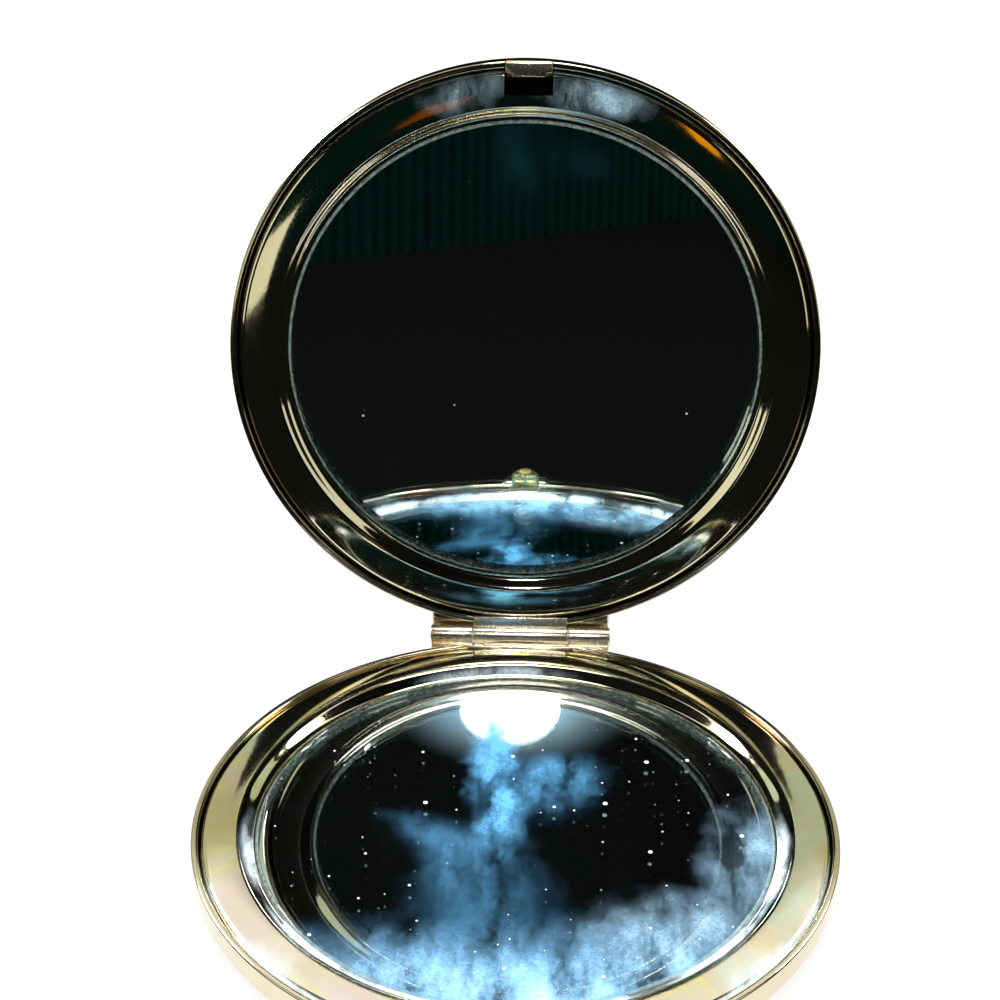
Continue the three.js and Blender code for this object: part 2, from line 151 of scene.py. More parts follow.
# Matt white paper: an even pale ground with a faint mottle of fibres, and no gloss.
table_paper, table_out = new_material("matt_white_paper")
tree = table_paper.node_tree
fibres = add_node(
    tree,
    "ShaderNodeTexNoise",
    {"Scale": 1 / (FIBRE_MM * MM), "Detail": 3.0},
    {"Vector": add_node(tree, "ShaderNodeTexCoord").outputs["Object"]},
)
paper_tone = add_node(
    tree,
    "ShaderNodeMix",
    {"data_type": "RGBA", 6: linear(FLOOR_COLOUR), 7: linear(FLOOR_SHADE)},
    {"Factor": fibres.outputs["Fac"]},
)
paper = add_node(tree, "ShaderNodeBsdfDiffuse", None, {"Color": paper_tone.outputs[2]})
glow = add_node(tree, "ShaderNodeEmission", {"Color": linear(SKY_COLOUR), "Strength": 1.0})
glow_share = add_node(
    tree, "ShaderNodeMath", {"operation": "MULTIPLY", 1: FLOOR_GLOW_SHARE}, {0: shown_rays(tree)}
)
paper_mix = add_node(tree, "ShaderNodeMixShader", None, {"Fac": glow_share.outputs[0]})
tree.links.new(paper.outputs[0], paper_mix.inputs[1])
tree.links.new(glow.outputs[0], paper_mix.inputs[2])
tree.links.new(paper_mix.outputs[0], table_out.inputs["Surface"])

bpy.ops.object.select_all(action="DESELECT")
bpy.ops.mesh.primitive_plane_add(size=FLOOR_SIZE)
floor = bpy.context.active_object
floor.name = "table_top"
set_only(floor, table_paper)

CLOTH_HOLE_R = 0.038
CLOTH_HOLE_SIDES = 96
CLOTH_R = 0.9
CLOTH_HEIGHT = 0.0005
CLOTH_COLOUR = "#0a0b0a"
CLOTH_SHADE = "#060706"
NAP_MM = 3.0
RIB_WAVER = 0.4
CLOTH_BACK_Y = 0.07
CURTAIN_COLOUR = "#02110e"
CURTAIN_SHADE = "#010907"
CURTAIN_TOP_MM = 1200
CURTAIN_FAR_LEFT = (-1000, 250)
CURTAIN_FAR_RIGHT = (1000, 250)
CEILING_MM = 1150
CEILING_REACH_MM = 1000
CEILING_BACK_MM = 300
RIBBED_TOP_MM = 130
CURTAIN_RIB_MM = 5.5
BAND_PERIOD = 0.314
WALL_COLOUR = "#bdbda2"
WALL_TOP_COLOUR = "#fffdf2"
WALL_Y_MM = 500
WALL_HALF_MM = 900
WALL_TOP_MM = 560
WALL_FADE = (0.405, 0.475)
SCREEN_CORNERS = [(-225, 498, 0), (255, 498, 0), (112, 498, 385), (-134, 498, 385)]


def unseen_stage(obj, material):
    """A card for the mirrors to show: no camera sees it and it shades nothing."""
    set_only(obj, material)
    obj.visible_camera = False
    obj.visible_shadow = False
    obj.visible_diffuse = False


def card(name, corners_mm, material):
    """A flat card between four corners given in millimetres."""
    bpy.ops.object.select_all(action="DESELECT")
    bpy.ops.mesh.primitive_plane_add(size=1)
    piece = bpy.context.active_object
    piece.name = name
    for corner, place in zip((0, 1, 3, 2), corners_mm):
        piece.data.vertices[corner].co = Vector(place) * MM
    unseen_stage(piece, material)
    return piece


def upright(first_mm, last_mm, foot_mm, top_mm):
    """The corners of an upright card that stands on a line on the table."""
    return [(*first_mm, foot_mm), (*last_mm, foot_mm), (*last_mm, top_mm), (*first_mm, top_mm)]


def dull_cloth(name, colour, shade, rib_mm=None, turn=0.0):
    """Felt is mottled by its nap, drawn coarser than it is because it would be too fine to
    show; ribbed cloth has upright bands of the same two tones."""
    material, out = new_material(name)
    cloth_tree = material.node_tree
    place = add_node(cloth_tree, "ShaderNodeTexCoord").outputs["Object"]
    pattern = add_node(
        cloth_tree,
        "ShaderNodeTexNoise",
        {"Scale": 1 / (NAP_MM * MM), "Detail": 3.0},
        {"Vector": place},
    )
    if rib_mm:
        along = add_node(
            cloth_tree, "ShaderNodeMapping", {"Rotation": (0, 0, turn)}, {"Vector": place}
        )
        pattern = add_node(
            cloth_tree,
            "ShaderNodeTexWave",
            {"bands_direction": "X", "Scale": BAND_PERIOD / (rib_mm * MM), "Distortion": RIB_WAVER},
            {"Vector": along.outputs[0]},
        )
    tone = add_node(
        cloth_tree,
        "ShaderNodeMix",
        {"data_type": "RGBA", 6: linear(shade), 7: linear(colour)},
        {"Factor": pattern.outputs["Fac"]},
    )
    nap = add_node(cloth_tree, "ShaderNodeBsdfDiffuse", None, {"Color": tone.outputs[2]})
    cloth_tree.links.new(nap.outputs[0], out.inputs["Surface"])
    return material


bpy.ops.object.select_all(action="DESELECT")
bpy.ops.mesh.primitive_circle_add(
    vertices=CLOTH_HOLE_SIDES, radius=CLOTH_HOLE_R, location=(0, 0, CLOTH_HEIGHT)
)
cloth = bpy.context.active_object
cloth.name = "dark_cloth"
bpy.ops.object.mode_set(mode="EDIT")
bpy.ops.mesh.select_all(action="SELECT")
bpy.ops.mesh.extrude_edges_move()
bpy.ops.transform.resize(value=(CLOTH_R / CLOTH_HOLE_R, CLOTH_R / CLOTH_HOLE_R, 1))
bpy.ops.mesh.select_all(action="SELECT")
bpy.ops.mesh.bisect(plane_co=(0, CLOTH_BACK_Y, 0), plane_no=(0, 1, 0), clear_outer=True)
bpy.ops.object.mode_set(mode="OBJECT")
black_felt = dull_cloth("black_felt", CLOTH_COLOUR, CLOTH_SHADE)
unseen_stage(cloth, black_felt)

CURTAIN_MID_LEFT = (-194.0, -164.0)
CURTAIN_MID_RIGHT = (336.0, -750.0)
curtain_turn = math.atan2(
    CURTAIN_MID_RIGHT[1] - CURTAIN_MID_LEFT[1], CURTAIN_MID_RIGHT[0] - CURTAIN_MID_LEFT[0]
)
ribbed = dull_cloth(
    "ribbed_green_curtain", CURTAIN_COLOUR, CURTAIN_SHADE, CURTAIN_RIB_MM, -curtain_turn
)
card("curtain_foot", upright(CURTAIN_MID_LEFT, CURTAIN_MID_RIGHT, 0, RIBBED_TOP_MM), ribbed)
for name, first, last, foot in (
    ("curtain_head", CURTAIN_MID_LEFT, CURTAIN_MID_RIGHT, RIBBED_TOP_MM),
    ("curtain_left", CURTAIN_FAR_LEFT, CURTAIN_MID_LEFT, 0),
    ("curtain_right", CURTAIN_MID_RIGHT, CURTAIN_FAR_RIGHT, 0),
):
    card(name, upright(first, last, foot, CURTAIN_TOP_MM), black_felt)
card(
    "dark_ceiling",
    [
        (-CEILING_REACH_MM, -CEILING_REACH_MM, CEILING_MM),
        (CEILING_REACH_MM, -CEILING_REACH_MM, CEILING_MM),
        (CEILING_REACH_MM, CEILING_BACK_MM, CEILING_MM),
        (-CEILING_REACH_MM, CEILING_BACK_MM, CEILING_MM),
    ],
    black_felt,
)


def glowing_card(name, colour, top_colour=None, fade=None):
    """A card of one plain brightness, or of two with a soft step at a height in metres."""
    material, out = new_material(name)
    card_tree = material.node_tree
    shine = add_node(card_tree, "ShaderNodeEmission", {"Color": linear(colour), "Strength": 1.0})
    if fade:
        place = add_node(card_tree, "ShaderNodeTexCoord").outputs["Object"]
        height = add_node(card_tree, "ShaderNodeSeparateXYZ", None, {"Vector": place}).outputs["Z"]
        step = add_node(
            card_tree,
            "ShaderNodeMapRange",
            {"interpolation_type": "SMOOTHSTEP", "From Min": fade[0], "From Max": fade[1]},
            {"Value": height},
        )
        tone = add_node(
            card_tree,
            "ShaderNodeMix",
            {"data_type": "RGBA", 6: linear(colour), 7: linear(top_colour)},
            {"Factor": step.outputs[0]},
        )
        card_tree.links.new(tone.outputs[2], shine.inputs["Color"])
    card_tree.links.new(shine.outputs[0], out.inputs["Surface"])
    return material


wall_paint = glowing_card("beige_wall", WALL_COLOUR, WALL_TOP_COLOUR, WALL_FADE)
card(
    "wall_behind",
    upright((-WALL_HALF_MM, WALL_Y_MM), (WALL_HALF_MM, WALL_Y_MM), 0, WALL_TOP_MM),
    wall_paint,
)
card("dark_screen", SCREEN_CORNERS, black_felt)

# Bright things that the mirrors and the metal show as glints: a pile of paper at the
# curtain's foot, a lit doorway on either side, and wood. Each has the line on the table
# that it stands on, its foot and top, and its finish and colour.
GLINTS = [
    ("paper_pile", (-132, -224), (-86, -275), 2, 36, "white_paper_edges", "#eeeed6"),
    ("doorway_left", (-166, -96), (-206, -34), 18, 160, "lit_doorway", "#f2f2dc"),
    ("doorway_right", (160, -110), (200, -45), 20, 185, "dim_doorway", "#dedecb"),
    ("amber_right", (87, -400), (107, -400), 74, 104, "amber_wood", "#ee9a18"),
    ("amber_left", (-60, -330), (-24, -330), 42, 70, "brown_wood", "#6a3a08"),
]
for name, first, last, foot, top, finish, colour in GLINTS:
    card(name, upright(first, last, foot, top), glowing_card(finish, colour))


# Lamps. Two large soft boxes light the object evenly from both sides and one from above,
# and a small lamp sits over the lens, as a camera's flash does.
SOFT_BOXES = [
    ("soft_box_left", (-0.7, 0.3, 0.5), 0.4, 6.0),
    ("soft_box_right", (0.75, 0.3, 0.5), 0.4, 5.0),
    ("soft_box_top", (0.05, 0.25, 1.0), 0.5, 10.0),
]
AIM_HEIGHT = 0.02


def soft_box(name, place, size, watts):
    """A round lamp that is aimed at the middle of the object."""
    bpy.ops.object.light_add(type="AREA", location=place)
    lamp = bpy.context.active_object
    lamp.name = name
    lamp.data.shape = "DISK"
    lamp.data.size = size
    lamp.data.energy = watts
    aim = Vector((0, 0, AIM_HEIGHT)) - Vector(place)
    lamp.rotation_euler = aim.to_track_quat("-Z", "Y").to_euler()
    return lamp


for name, place, size, watts in SOFT_BOXES:
    soft_box(name, place, size, watts)

FLASH_PLACE = (-0.004, -0.150, 0.226)
FLASH_SIZE = (0.027, 0.02)
FLASH_WATTS = 0.19
flash = soft_box("flash", FLASH_PLACE, FLASH_SIZE[0], FLASH_WATTS)
flash.data.shape = "ELLIPSE"
flash.data.size_y = FLASH_SIZE[1]

# The flash's diffuser: a pale blue glow that fades out round the lamp, as mirrors show it.
HALO_REACH = (0.036, 0.1, 0.03)
HALO_COLOUR = "#dcecff"
HALO_STRENGTH = 3.0
HALO_CARD_MM = (40, 26)
HALO_BEHIND_MM = 2
halo_glow, halo_out = new_material("flash_diffuser")
tree = halo_glow.node_tree
halo_place = add_node(tree, "ShaderNodeTexCoord").outputs["Object"]
halo_spread = add_node(
    tree,
    "ShaderNodeMapping",
    {"vector_type": "TEXTURE", "Location": FLASH_PLACE, "Scale": HALO_REACH},
    {"Vector": halo_place},
)
halo_fall = add_node(
    tree,
    "ShaderNodeTexGradient",
    {"gradient_type": "QUADRATIC_SPHERE"},
    {"Vector": halo_spread.outputs[0]},
)
halo_shine = add_node(
    tree, "ShaderNodeEmission", {"Color": linear(HALO_COLOUR), "Strength": HALO_STRENGTH}
)
halo_clear = add_node(tree, "ShaderNodeBsdfTransparent")
halo_mix = add_node(tree, "ShaderNodeMixShader", None, {"Fac": halo_fall.outputs["Fac"]})
tree.links.new(halo_clear.outputs[0], halo_mix.inputs[1])
tree.links.new(halo_shine.outputs[0], halo_mix.inputs[2])
tree.links.new(halo_mix.outputs[0], halo_out.inputs["Surface"])
halo_x, halo_y, halo_z = (1000 * value for value in FLASH_PLACE)
halo_y -= HALO_BEHIND_MM
card(
    "flash_diffuser",
    upright(
        (halo_x - HALO_CARD_MM[0], halo_y),
        (halo_x + HALO_CARD_MM[0], halo_y),
        halo_z - HALO_CARD_MM[1],
        halo_z + HALO_CARD_MM[1],
    ),
    halo_glow,
)


# Base pan. The outer half of the case, stamped from 0.7 mm sheet and plated with bright
# nickel that looks slightly warm. Its wall has a window for the button's stem, and it is
# cut straight across at the back, with a lug there for the hinge leaf.
CASE_R = 32.5
HALF = 5.4
PARTING_GAP = 0.2
RIM = HALF - PARTING_GAP / 2
SHEET = 0.7
DOME_RUN = 6.0
DOME_RISE = 3.2
FOOT_R = CASE_R - DOME_RUN
LIP_ROUND = 0.22
SPIN_STEPS = 240
DOME_STEPS = 20
INSIDE_STEPS = 10
LIP_STEPS = 6
WELD = 1e-6
TARNISH_MM = 11.0
SCUFF_MM = 0.25
WAVE_MM = 6.0
LACQUER_MM = 9.0


def arc(centre, radii, start, stop, steps):
    """Points on an arc of an ellipse, from one angle in degrees to another."""
    points = []
    for i in range(steps + 1):
        turn = math.radians(start + (stop - start) * i / steps)
        across, up = radii[0] * math.cos(turn), radii[1] * math.sin(turn)
        points.append((centre[0] + across, centre[1] + up))
    return points


def pick(piece, kind, wanted):
    """Goes into edit mode with only the vertices, edges or faces selected that are wanted."""
    bpy.ops.object.mode_set(mode="EDIT")
    bpy.ops.mesh.select_mode(type=kind)
    bpy.ops.mesh.select_all(action="DESELECT")
    bpy.ops.object.mode_set(mode="OBJECT")
    mesh = piece.data
    for part in {"VERT": mesh.vertices, "EDGE": mesh.edges, "FACE": mesh.polygons}[kind]:
        part.select = wanted(part)
    bpy.ops.object.mode_set(mode="EDIT")


def edge_run(piece, edge):
    """How far an edge runs along each axis."""
    first, last = (piece.data.vertices[v].co for v in edge.vertices)
    return [abs(a - b) for a, b in zip(first, last)]


def finish_edit(smooth_degrees=32):
    """Merges doubles, turns all faces outwards and shades the piece smooth but for creases."""
    bpy.ops.mesh.select_mode(type="VERT")
    bpy.ops.mesh.select_all(action="SELECT")
    bpy.ops.mesh.remove_doubles(threshold=WELD)
    bpy.ops.mesh.normals_make_consistent(inside=False)
    bpy.ops.object.mode_set(mode="OBJECT")
    bpy.ops.object.shade_smooth_by_angle(angle=math.radians(smooth_degrees))


def spun(name, profile_mm, steps=SPIN_STEPS):
    """A round piece: one point is drawn out along the profile, and that is spun round Z."""
    bpy.ops.object.select_all(action="DESELECT")
    bpy.ops.mesh.primitive_plane_add(size=MM)
    piece = bpy.context.active_object
    piece.name = name
    bpy.ops.object.mode_set(mode="EDIT")
    bpy.ops.mesh.select_all(action="SELECT")
    bpy.ops.mesh.merge(type="CENTER")
    at = Vector((profile_mm[0][0], 0, profile_mm[0][1])) * MM
    bpy.ops.transform.translate(value=at)
    for radius, height in profile_mm[1:]:
        to = Vector((radius, 0, height)) * MM
        bpy.ops.mesh.extrude_region_move(TRANSFORM_OT_translate={"value": to - at})
        at = to
    bpy.ops.mesh.select_all(action="SELECT")
    bpy.ops.mesh.spin(steps=steps, angle=2 * math.pi, center=(0, 0, 0), axis=(0, 0, 1))
    finish_edit()
    return piece


def block(name, x, y, z, bevel_mm=0.0, segments=3):
    """A box between two values on each axis, in millimetres, its edges rounded."""
    bpy.ops.object.select_all(action="DESELECT")
    bpy.ops.mesh.primitive_cube_add(size=1)
    piece = bpy.context.active_object
    piece.name = name
    piece.scale = ((x[1] - x[0]) * MM, (y[1] - y[0]) * MM, (z[1] - z[0]) * MM)
    piece.location = ((x[0] + x[1]) / 2 * MM, (y[0] + y[1]) / 2 * MM, (z[0] + z[1]) / 2 * MM)
    bpy.ops.object.transform_apply(location=True, rotation=True, scale=True)
    if bevel_mm:
        bpy.ops.object.mode_set(mode="EDIT")
        bpy.ops.mesh.select_all(action="SELECT")
        bpy.ops.mesh.bevel(offset=bevel_mm * MM, segments=segments)
        finish_edit()
    return piece


def combine(piece, other, operation):
    """Cuts the other piece out of this one, or joins it on, and removes it."""
    bpy.ops.object.select_all(action="DESELECT")
    bpy.context.view_layer.objects.active = piece
    piece.select_set(True)
    bpy.ops.object.modifier_add(type="BOOLEAN")
    tool = piece.modifiers[-1]
    tool.operation = operation
    tool.object = other
    bpy.ops.object.modifier_apply(modifier=tool.name)
    bpy.data.objects.remove(other)
    bpy.ops.object.mode_set(mode="EDIT")
    finish_edit()


def plated_metal(name, colour, roughness, tarnish, uneven=2.2, wave=0.02, lacquer=None):
    """Bright plating on stamped sheet: faint waves, clouds of tarnish, and scuffs that are
    drawn coarser than they are, because they would be too fine to show."""
    material, out = new_material(name)
    metal_tree = material.node_tree
    place = add_node(metal_tree, "ShaderNodeTexCoord").outputs["Object"]
    tone = add_node(
        metal_tree, "ShaderNodeMix", {"data_type": "RGBA", 6: linear(colour), 7: linear(tarnish)}
    )
    if lacquer:
        sheen = add_node(
            metal_tree,
            "ShaderNodeTexNoise",
            {"Scale": 1 / (LACQUER_MM * MM), "Detail": 1.5},
            {"Vector": place},
        )
        rainbow = add_node(metal_tree, "ShaderNodeValToRGB", None, {"Fac": sheen.outputs["Fac"]})
        for stop, hue in lacquer:
            rainbow.color_ramp.elements.new(stop).color = linear(hue)
        for end in (0, -1):
            rainbow.color_ramp.elements[end].color = linear(colour)
        metal_tree.links.new(rainbow.outputs[0], tone.inputs[6])
    cloud = add_node(
        metal_tree,
        "ShaderNodeTexNoise",
        {"Scale": 1 / (TARNISH_MM * MM), "Detail": 5.0},
        {"Vector": place},
    )
    amount = add_node(
        metal_tree,
        "ShaderNodeMapRange",
        {"From Min": 0.45, "From Max": 0.75, "To Max": 0.5},
        {"Value": cloud.outputs["Fac"]},
    )
    metal_tree.links.new(amount.outputs[0], tone.inputs["Factor"])
    scuffs = add_node(
        metal_tree,
        "ShaderNodeTexNoise",
        {"Scale": 1 / (SCUFF_MM * MM), "Detail": 3.0},
        {"Vector": place},
    )
    dull = add_node(
        metal_tree,
        "ShaderNodeMapRange",
        {"From Min": 0.4, "From Max": 0.8, "To Min": roughness, "To Max": roughness * uneven},
        {"Value": scuffs.outputs["Fac"]},
    )
    swell = add_node(
        metal_tree,
        "ShaderNodeTexNoise",
        {"Scale": 1 / (WAVE_MM * MM), "Detail": 2.0},
        {"Vector": place},
    )
    bump = add_node(
        metal_tree,
        "ShaderNodeBump",
        {"Strength": wave, "Distance": MM},
        {"Height": swell.outputs["Fac"]},
    )
    metal = add_node(
        metal_tree,
        "ShaderNodeBsdfPrincipled",
        {"Metallic": 1.0},
        {"Base Color": tone.outputs[2], "Roughness": dull.outputs[0], "Normal": bump.outputs[0]},
    )
    metal_tree.links.new(metal.outputs[0], out.inputs["Surface"])
    return material


def case_profile():
    """The pan from the middle of its foot, out over the dome and lip, and back inside."""
    inner = CASE_R - SHEET
    lip_z = RIM - LIP_ROUND
    outside = arc((FOOT_R, DOME_RISE), (DOME_RUN, DOME_RISE), -90, 0, DOME_STEPS)
    inside = arc((FOOT_R, DOME_RISE), (DOME_RUN - SHEET, DOME_RISE - SHEET), 0, -90, INSIDE_STEPS)
    lip = arc((CASE_R - LIP_ROUND, lip_z), (LIP_ROUND, LIP_ROUND), 0, 90, LIP_STEPS)
    lip += arc((inner + LIP_ROUND, lip_z), (LIP_ROUND, LIP_ROUND), 90, 180, LIP_STEPS)
    return [(0, 0)] + outside + lip + inside + [(0, SHEET)]


PIN_Y = CASE_R + 1.04
LUG_BACK = PIN_Y - 1.34
HINGE_HALF = 10.4
LUG_HALF = 10.25
LEAF_TOP = HALF - 0.1
LEAF_THICK = 0.5
LEAF_FIT = 0.08
LEAF_FRONT = PIN_Y - 2.25
LUG_TOP = LEAF_TOP - LEAF_THICK - LEAF_FIT
LUG_FOOT = LUG_TOP - 2.0
LUG_FRONT = CASE_R - 4.0
LUG_ROUND = 0.15
CENTRE_HALF = 5.45
OVER = 3.0


def leaf_recess(leaf_half):
    """The room for a hinge leaf, to be cut out of a pan or a frame."""
    return block(
        "cut",
        (-leaf_half - LEAF_FIT, leaf_half + LEAF_FIT),
        (LEAF_FRONT - LEAF_FIT, PIN_Y + OVER),
        (LUG_TOP, HALF + OVER),
    )


def pan(name, leaf_half):
    """A plated pan, cut straight across behind, with its hinge lug."""
    piece = spun(name, case_profile())
    flat = block(
        "cut", (-HINGE_HALF, HINGE_HALF), (LUG_BACK, PIN_Y + OVER), (-OVER, HALF + OVER)
    )
    combine(piece, flat, "DIFFERENCE")
    combine(piece, leaf_recess(leaf_half), "DIFFERENCE")
    lug = block(
        "lug", (-LUG_HALF, LUG_HALF), (LUG_FRONT, LUG_BACK), (LUG_FOOT, LUG_TOP), LUG_ROUND
    )
    mid_wall = CASE_R - SHEET / 2
    hollow = spun("cut", [(0, -OVER), (mid_wall, -OVER), (mid_wall, HALF + OVER), (0, HALF + OVER)])
    combine(lug, hollow, "DIFFERENCE")
    combine(piece, lug, "UNION")
    return piece


# Nickel-plated brass: a warm mirror that the stamping leaves a little wavy and dull.
nickel = plated_metal("nickel_plated_brass_case", "#e6dcc0", 0.07, "#c9b98f")
WINDOW_HALF = 1.65
WINDOW_HEIGHTS = (2.6, 4.4)
base_pan = pan("base_pan", HINGE_HALF)
window = block("cut", (-WINDOW_HALF, WINDOW_HALF), (-CASE_R - 1, -CASE_R + 2), WINDOW_HEIGHTS)
combine(base_pan, window, "DIFFERENCE")
set_only(base_pan, nickel)
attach(base_pan, "base")
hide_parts("base_shell")


# Lid pan. The same stamping as the base, swung up on the hinge to where it stands open.
# Its lip is cut away at the front for the keeper.
OPEN_DEGREES = 96.9
LID_PLACE = (
    Matrix.Translation(Vector((0, PIN_Y, HALF)) * MM)
    @ Matrix.Rotation(math.radians(180 - OPEN_DEGREES), 4, "X")
    @ Matrix.Translation(Vector((0, PIN_Y, -HALF)) * MM)
    @ Matrix.Rotation(math.pi, 4, "Z")
)
NOTCH_HALF = 2.55
NOTCH_FLOOR = HALF - 0.95
NOTCH_BACK = -CASE_R + 3.58


def place_in_lid(piece):
    """Moves a piece that was made lying flat, hinge at the back, to its place in the lid."""
    bpy.ops.object.select_all(action="DESELECT")
    bpy.context.view_layer.objects.active = piece
    piece.select_set(True)
    piece.matrix_world = LID_PLACE
    bpy.ops.object.transform_apply(location=True, rotation=True, scale=True)


def notch_cutter():
    """The notch in the front of the lid, to be cut out of its pan and its frame."""
    return block(
        "cut", (-NOTCH_HALF, NOTCH_HALF), (-CASE_R - 1, NOTCH_BACK), (NOTCH_FLOOR, HALF + OVER)
    )


LEDGE_GAP = 0.19
LEDGE_ROUND = 0.1
KNUCKLE_R = 1.15

lid_pan = pan("lid_pan", CENTRE_HALF)
ledge = block(
    "ledge",
    (-LUG_HALF, LUG_HALF),
    (LUG_BACK - LEDGE_GAP, PIN_Y - LEDGE_GAP),
    (LUG_FOOT, HALF - KNUCKLE_R - LEDGE_GAP),
    LEDGE_ROUND,
)
combine(lid_pan, ledge, "UNION")
combine(lid_pan, notch_cutter(), "DIFFERENCE")
place_in_lid(lid_pan)
set_only(lid_pan, nickel)
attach(lid_pan, "lid")
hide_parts("lid_shell")


# Base frame. A bright ring stamped from 0.5 mm sheet and pressed inside the pan's wall: a
# rounded outer edge, a gently crowned bezel, and a slope down to the pocket that holds the
# mirror. It has a slot for the claw, and the button's stem goes through its skirt.
FRAME_SHEET = 0.5
FRAME_R = CASE_R - SHEET - 0.2
FRAME_ROUND = 0.8
SKIRT_FOOT = RIM - 2.0
BEZEL_IN_R = FRAME_R - 3.7
BEZEL_DIP = 0.1
CROWN_BOW = 0.17
CROWN_PEAK = 0.25
CROWN_STEPS = 10
SLOPE_START = 0.15
SLOPE_RUN = 1.4
SLOPE_STEPS = 12
UNDER_STEP = 0.25
GLASS_TOP = HALF - 1.0
POCKET_R = BEZEL_IN_R - 1.55
POCKET_FLOOR = 2.1


def frame_profile():
    """The stamped frame from the middle of the pocket's floor, up over slope and bezel."""
    crown_r = (BEZEL_IN_R + FRAME_R - FRAME_ROUND) / 2
    outer_crown_r = FRAME_R - FRAME_ROUND
    crown = []
    for i in range(CROWN_STEPS + 1):
        share = i / CROWN_STEPS
        radius = BEZEL_IN_R + (outer_crown_r - BEZEL_IN_R) * share
        crown.append((radius, RIM - CROWN_BOW * (share - CROWN_PEAK) ** 2))
    slope = []
    for i in range(SLOPE_STEPS):
        share = i / SLOPE_STEPS
        ease = share * share * (3 - 2 * share)
        radius = POCKET_R + SLOPE_START + SLOPE_RUN * share
        slope.append((radius, GLASS_TOP + (crown[0][1] - GLASS_TOP) * ease))
    edge_centre = (outer_crown_r, crown[-1][1] - FRAME_ROUND)
    edge = arc(edge_centre, (FRAME_ROUND, FRAME_ROUND), 90, 0, CROWN_STEPS)[1:]
    under = RIM - FRAME_SHEET
    inner_r = FRAME_R - FRAME_SHEET
    back = [
        (FRAME_R, SKIRT_FOOT),
        (inner_r, SKIRT_FOOT),
        (inner_r, RIM - FRAME_ROUND),
        (outer_crown_r, under),
        (crown_r, under),
        (BEZEL_IN_R + UNDER_STEP, under - BEZEL_DIP),
        (POCKET_R + FRAME_SHEET, GLASS_TOP - UNDER_STEP),
        (POCKET_R + FRAME_SHEET, POCKET_FLOOR - FRAME_SHEET),
        (0, POCKET_FLOOR - FRAME_SHEET),
    ]
    pocket = [(0, POCKET_FLOOR), (POCKET_R, POCKET_FLOOR), (POCKET_R, GLASS_TOP)]
    return pocket + slope + crown + edge + back


def flat_place(tree, to_flat=None):
    """Object coordinates in millimetres; for the lid, as it lay when it was made flat."""
    in_mm = {"Scale": (1000, 1000, 1000)}
    if to_flat:
        in_mm["Rotation"] = to_flat.to_euler()
        in_mm["Location"] = to_flat.to_translation() * 1000
    place = add_node(tree, "ShaderNodeTexCoord").outputs["Object"]
    return add_node(tree, "ShaderNodeMapping", in_mm, {"Vector": place}).outputs[0]


def lay_over(material, amount, layer):
    """Covers a material's surface with another shader, as thickly as the amount says."""
    tree = material.node_tree
    surface = next(n for n in tree.nodes if n.type == "OUTPUT_MATERIAL").inputs["Surface"]
    under = surface.links[0].from_socket
    mix = add_node(
        tree, "ShaderNodeMixShader", None, {"Fac": amount, 1: under, 2: layer.outputs[0]}
    )
    tree.links.new(mix.outputs[0], surface)


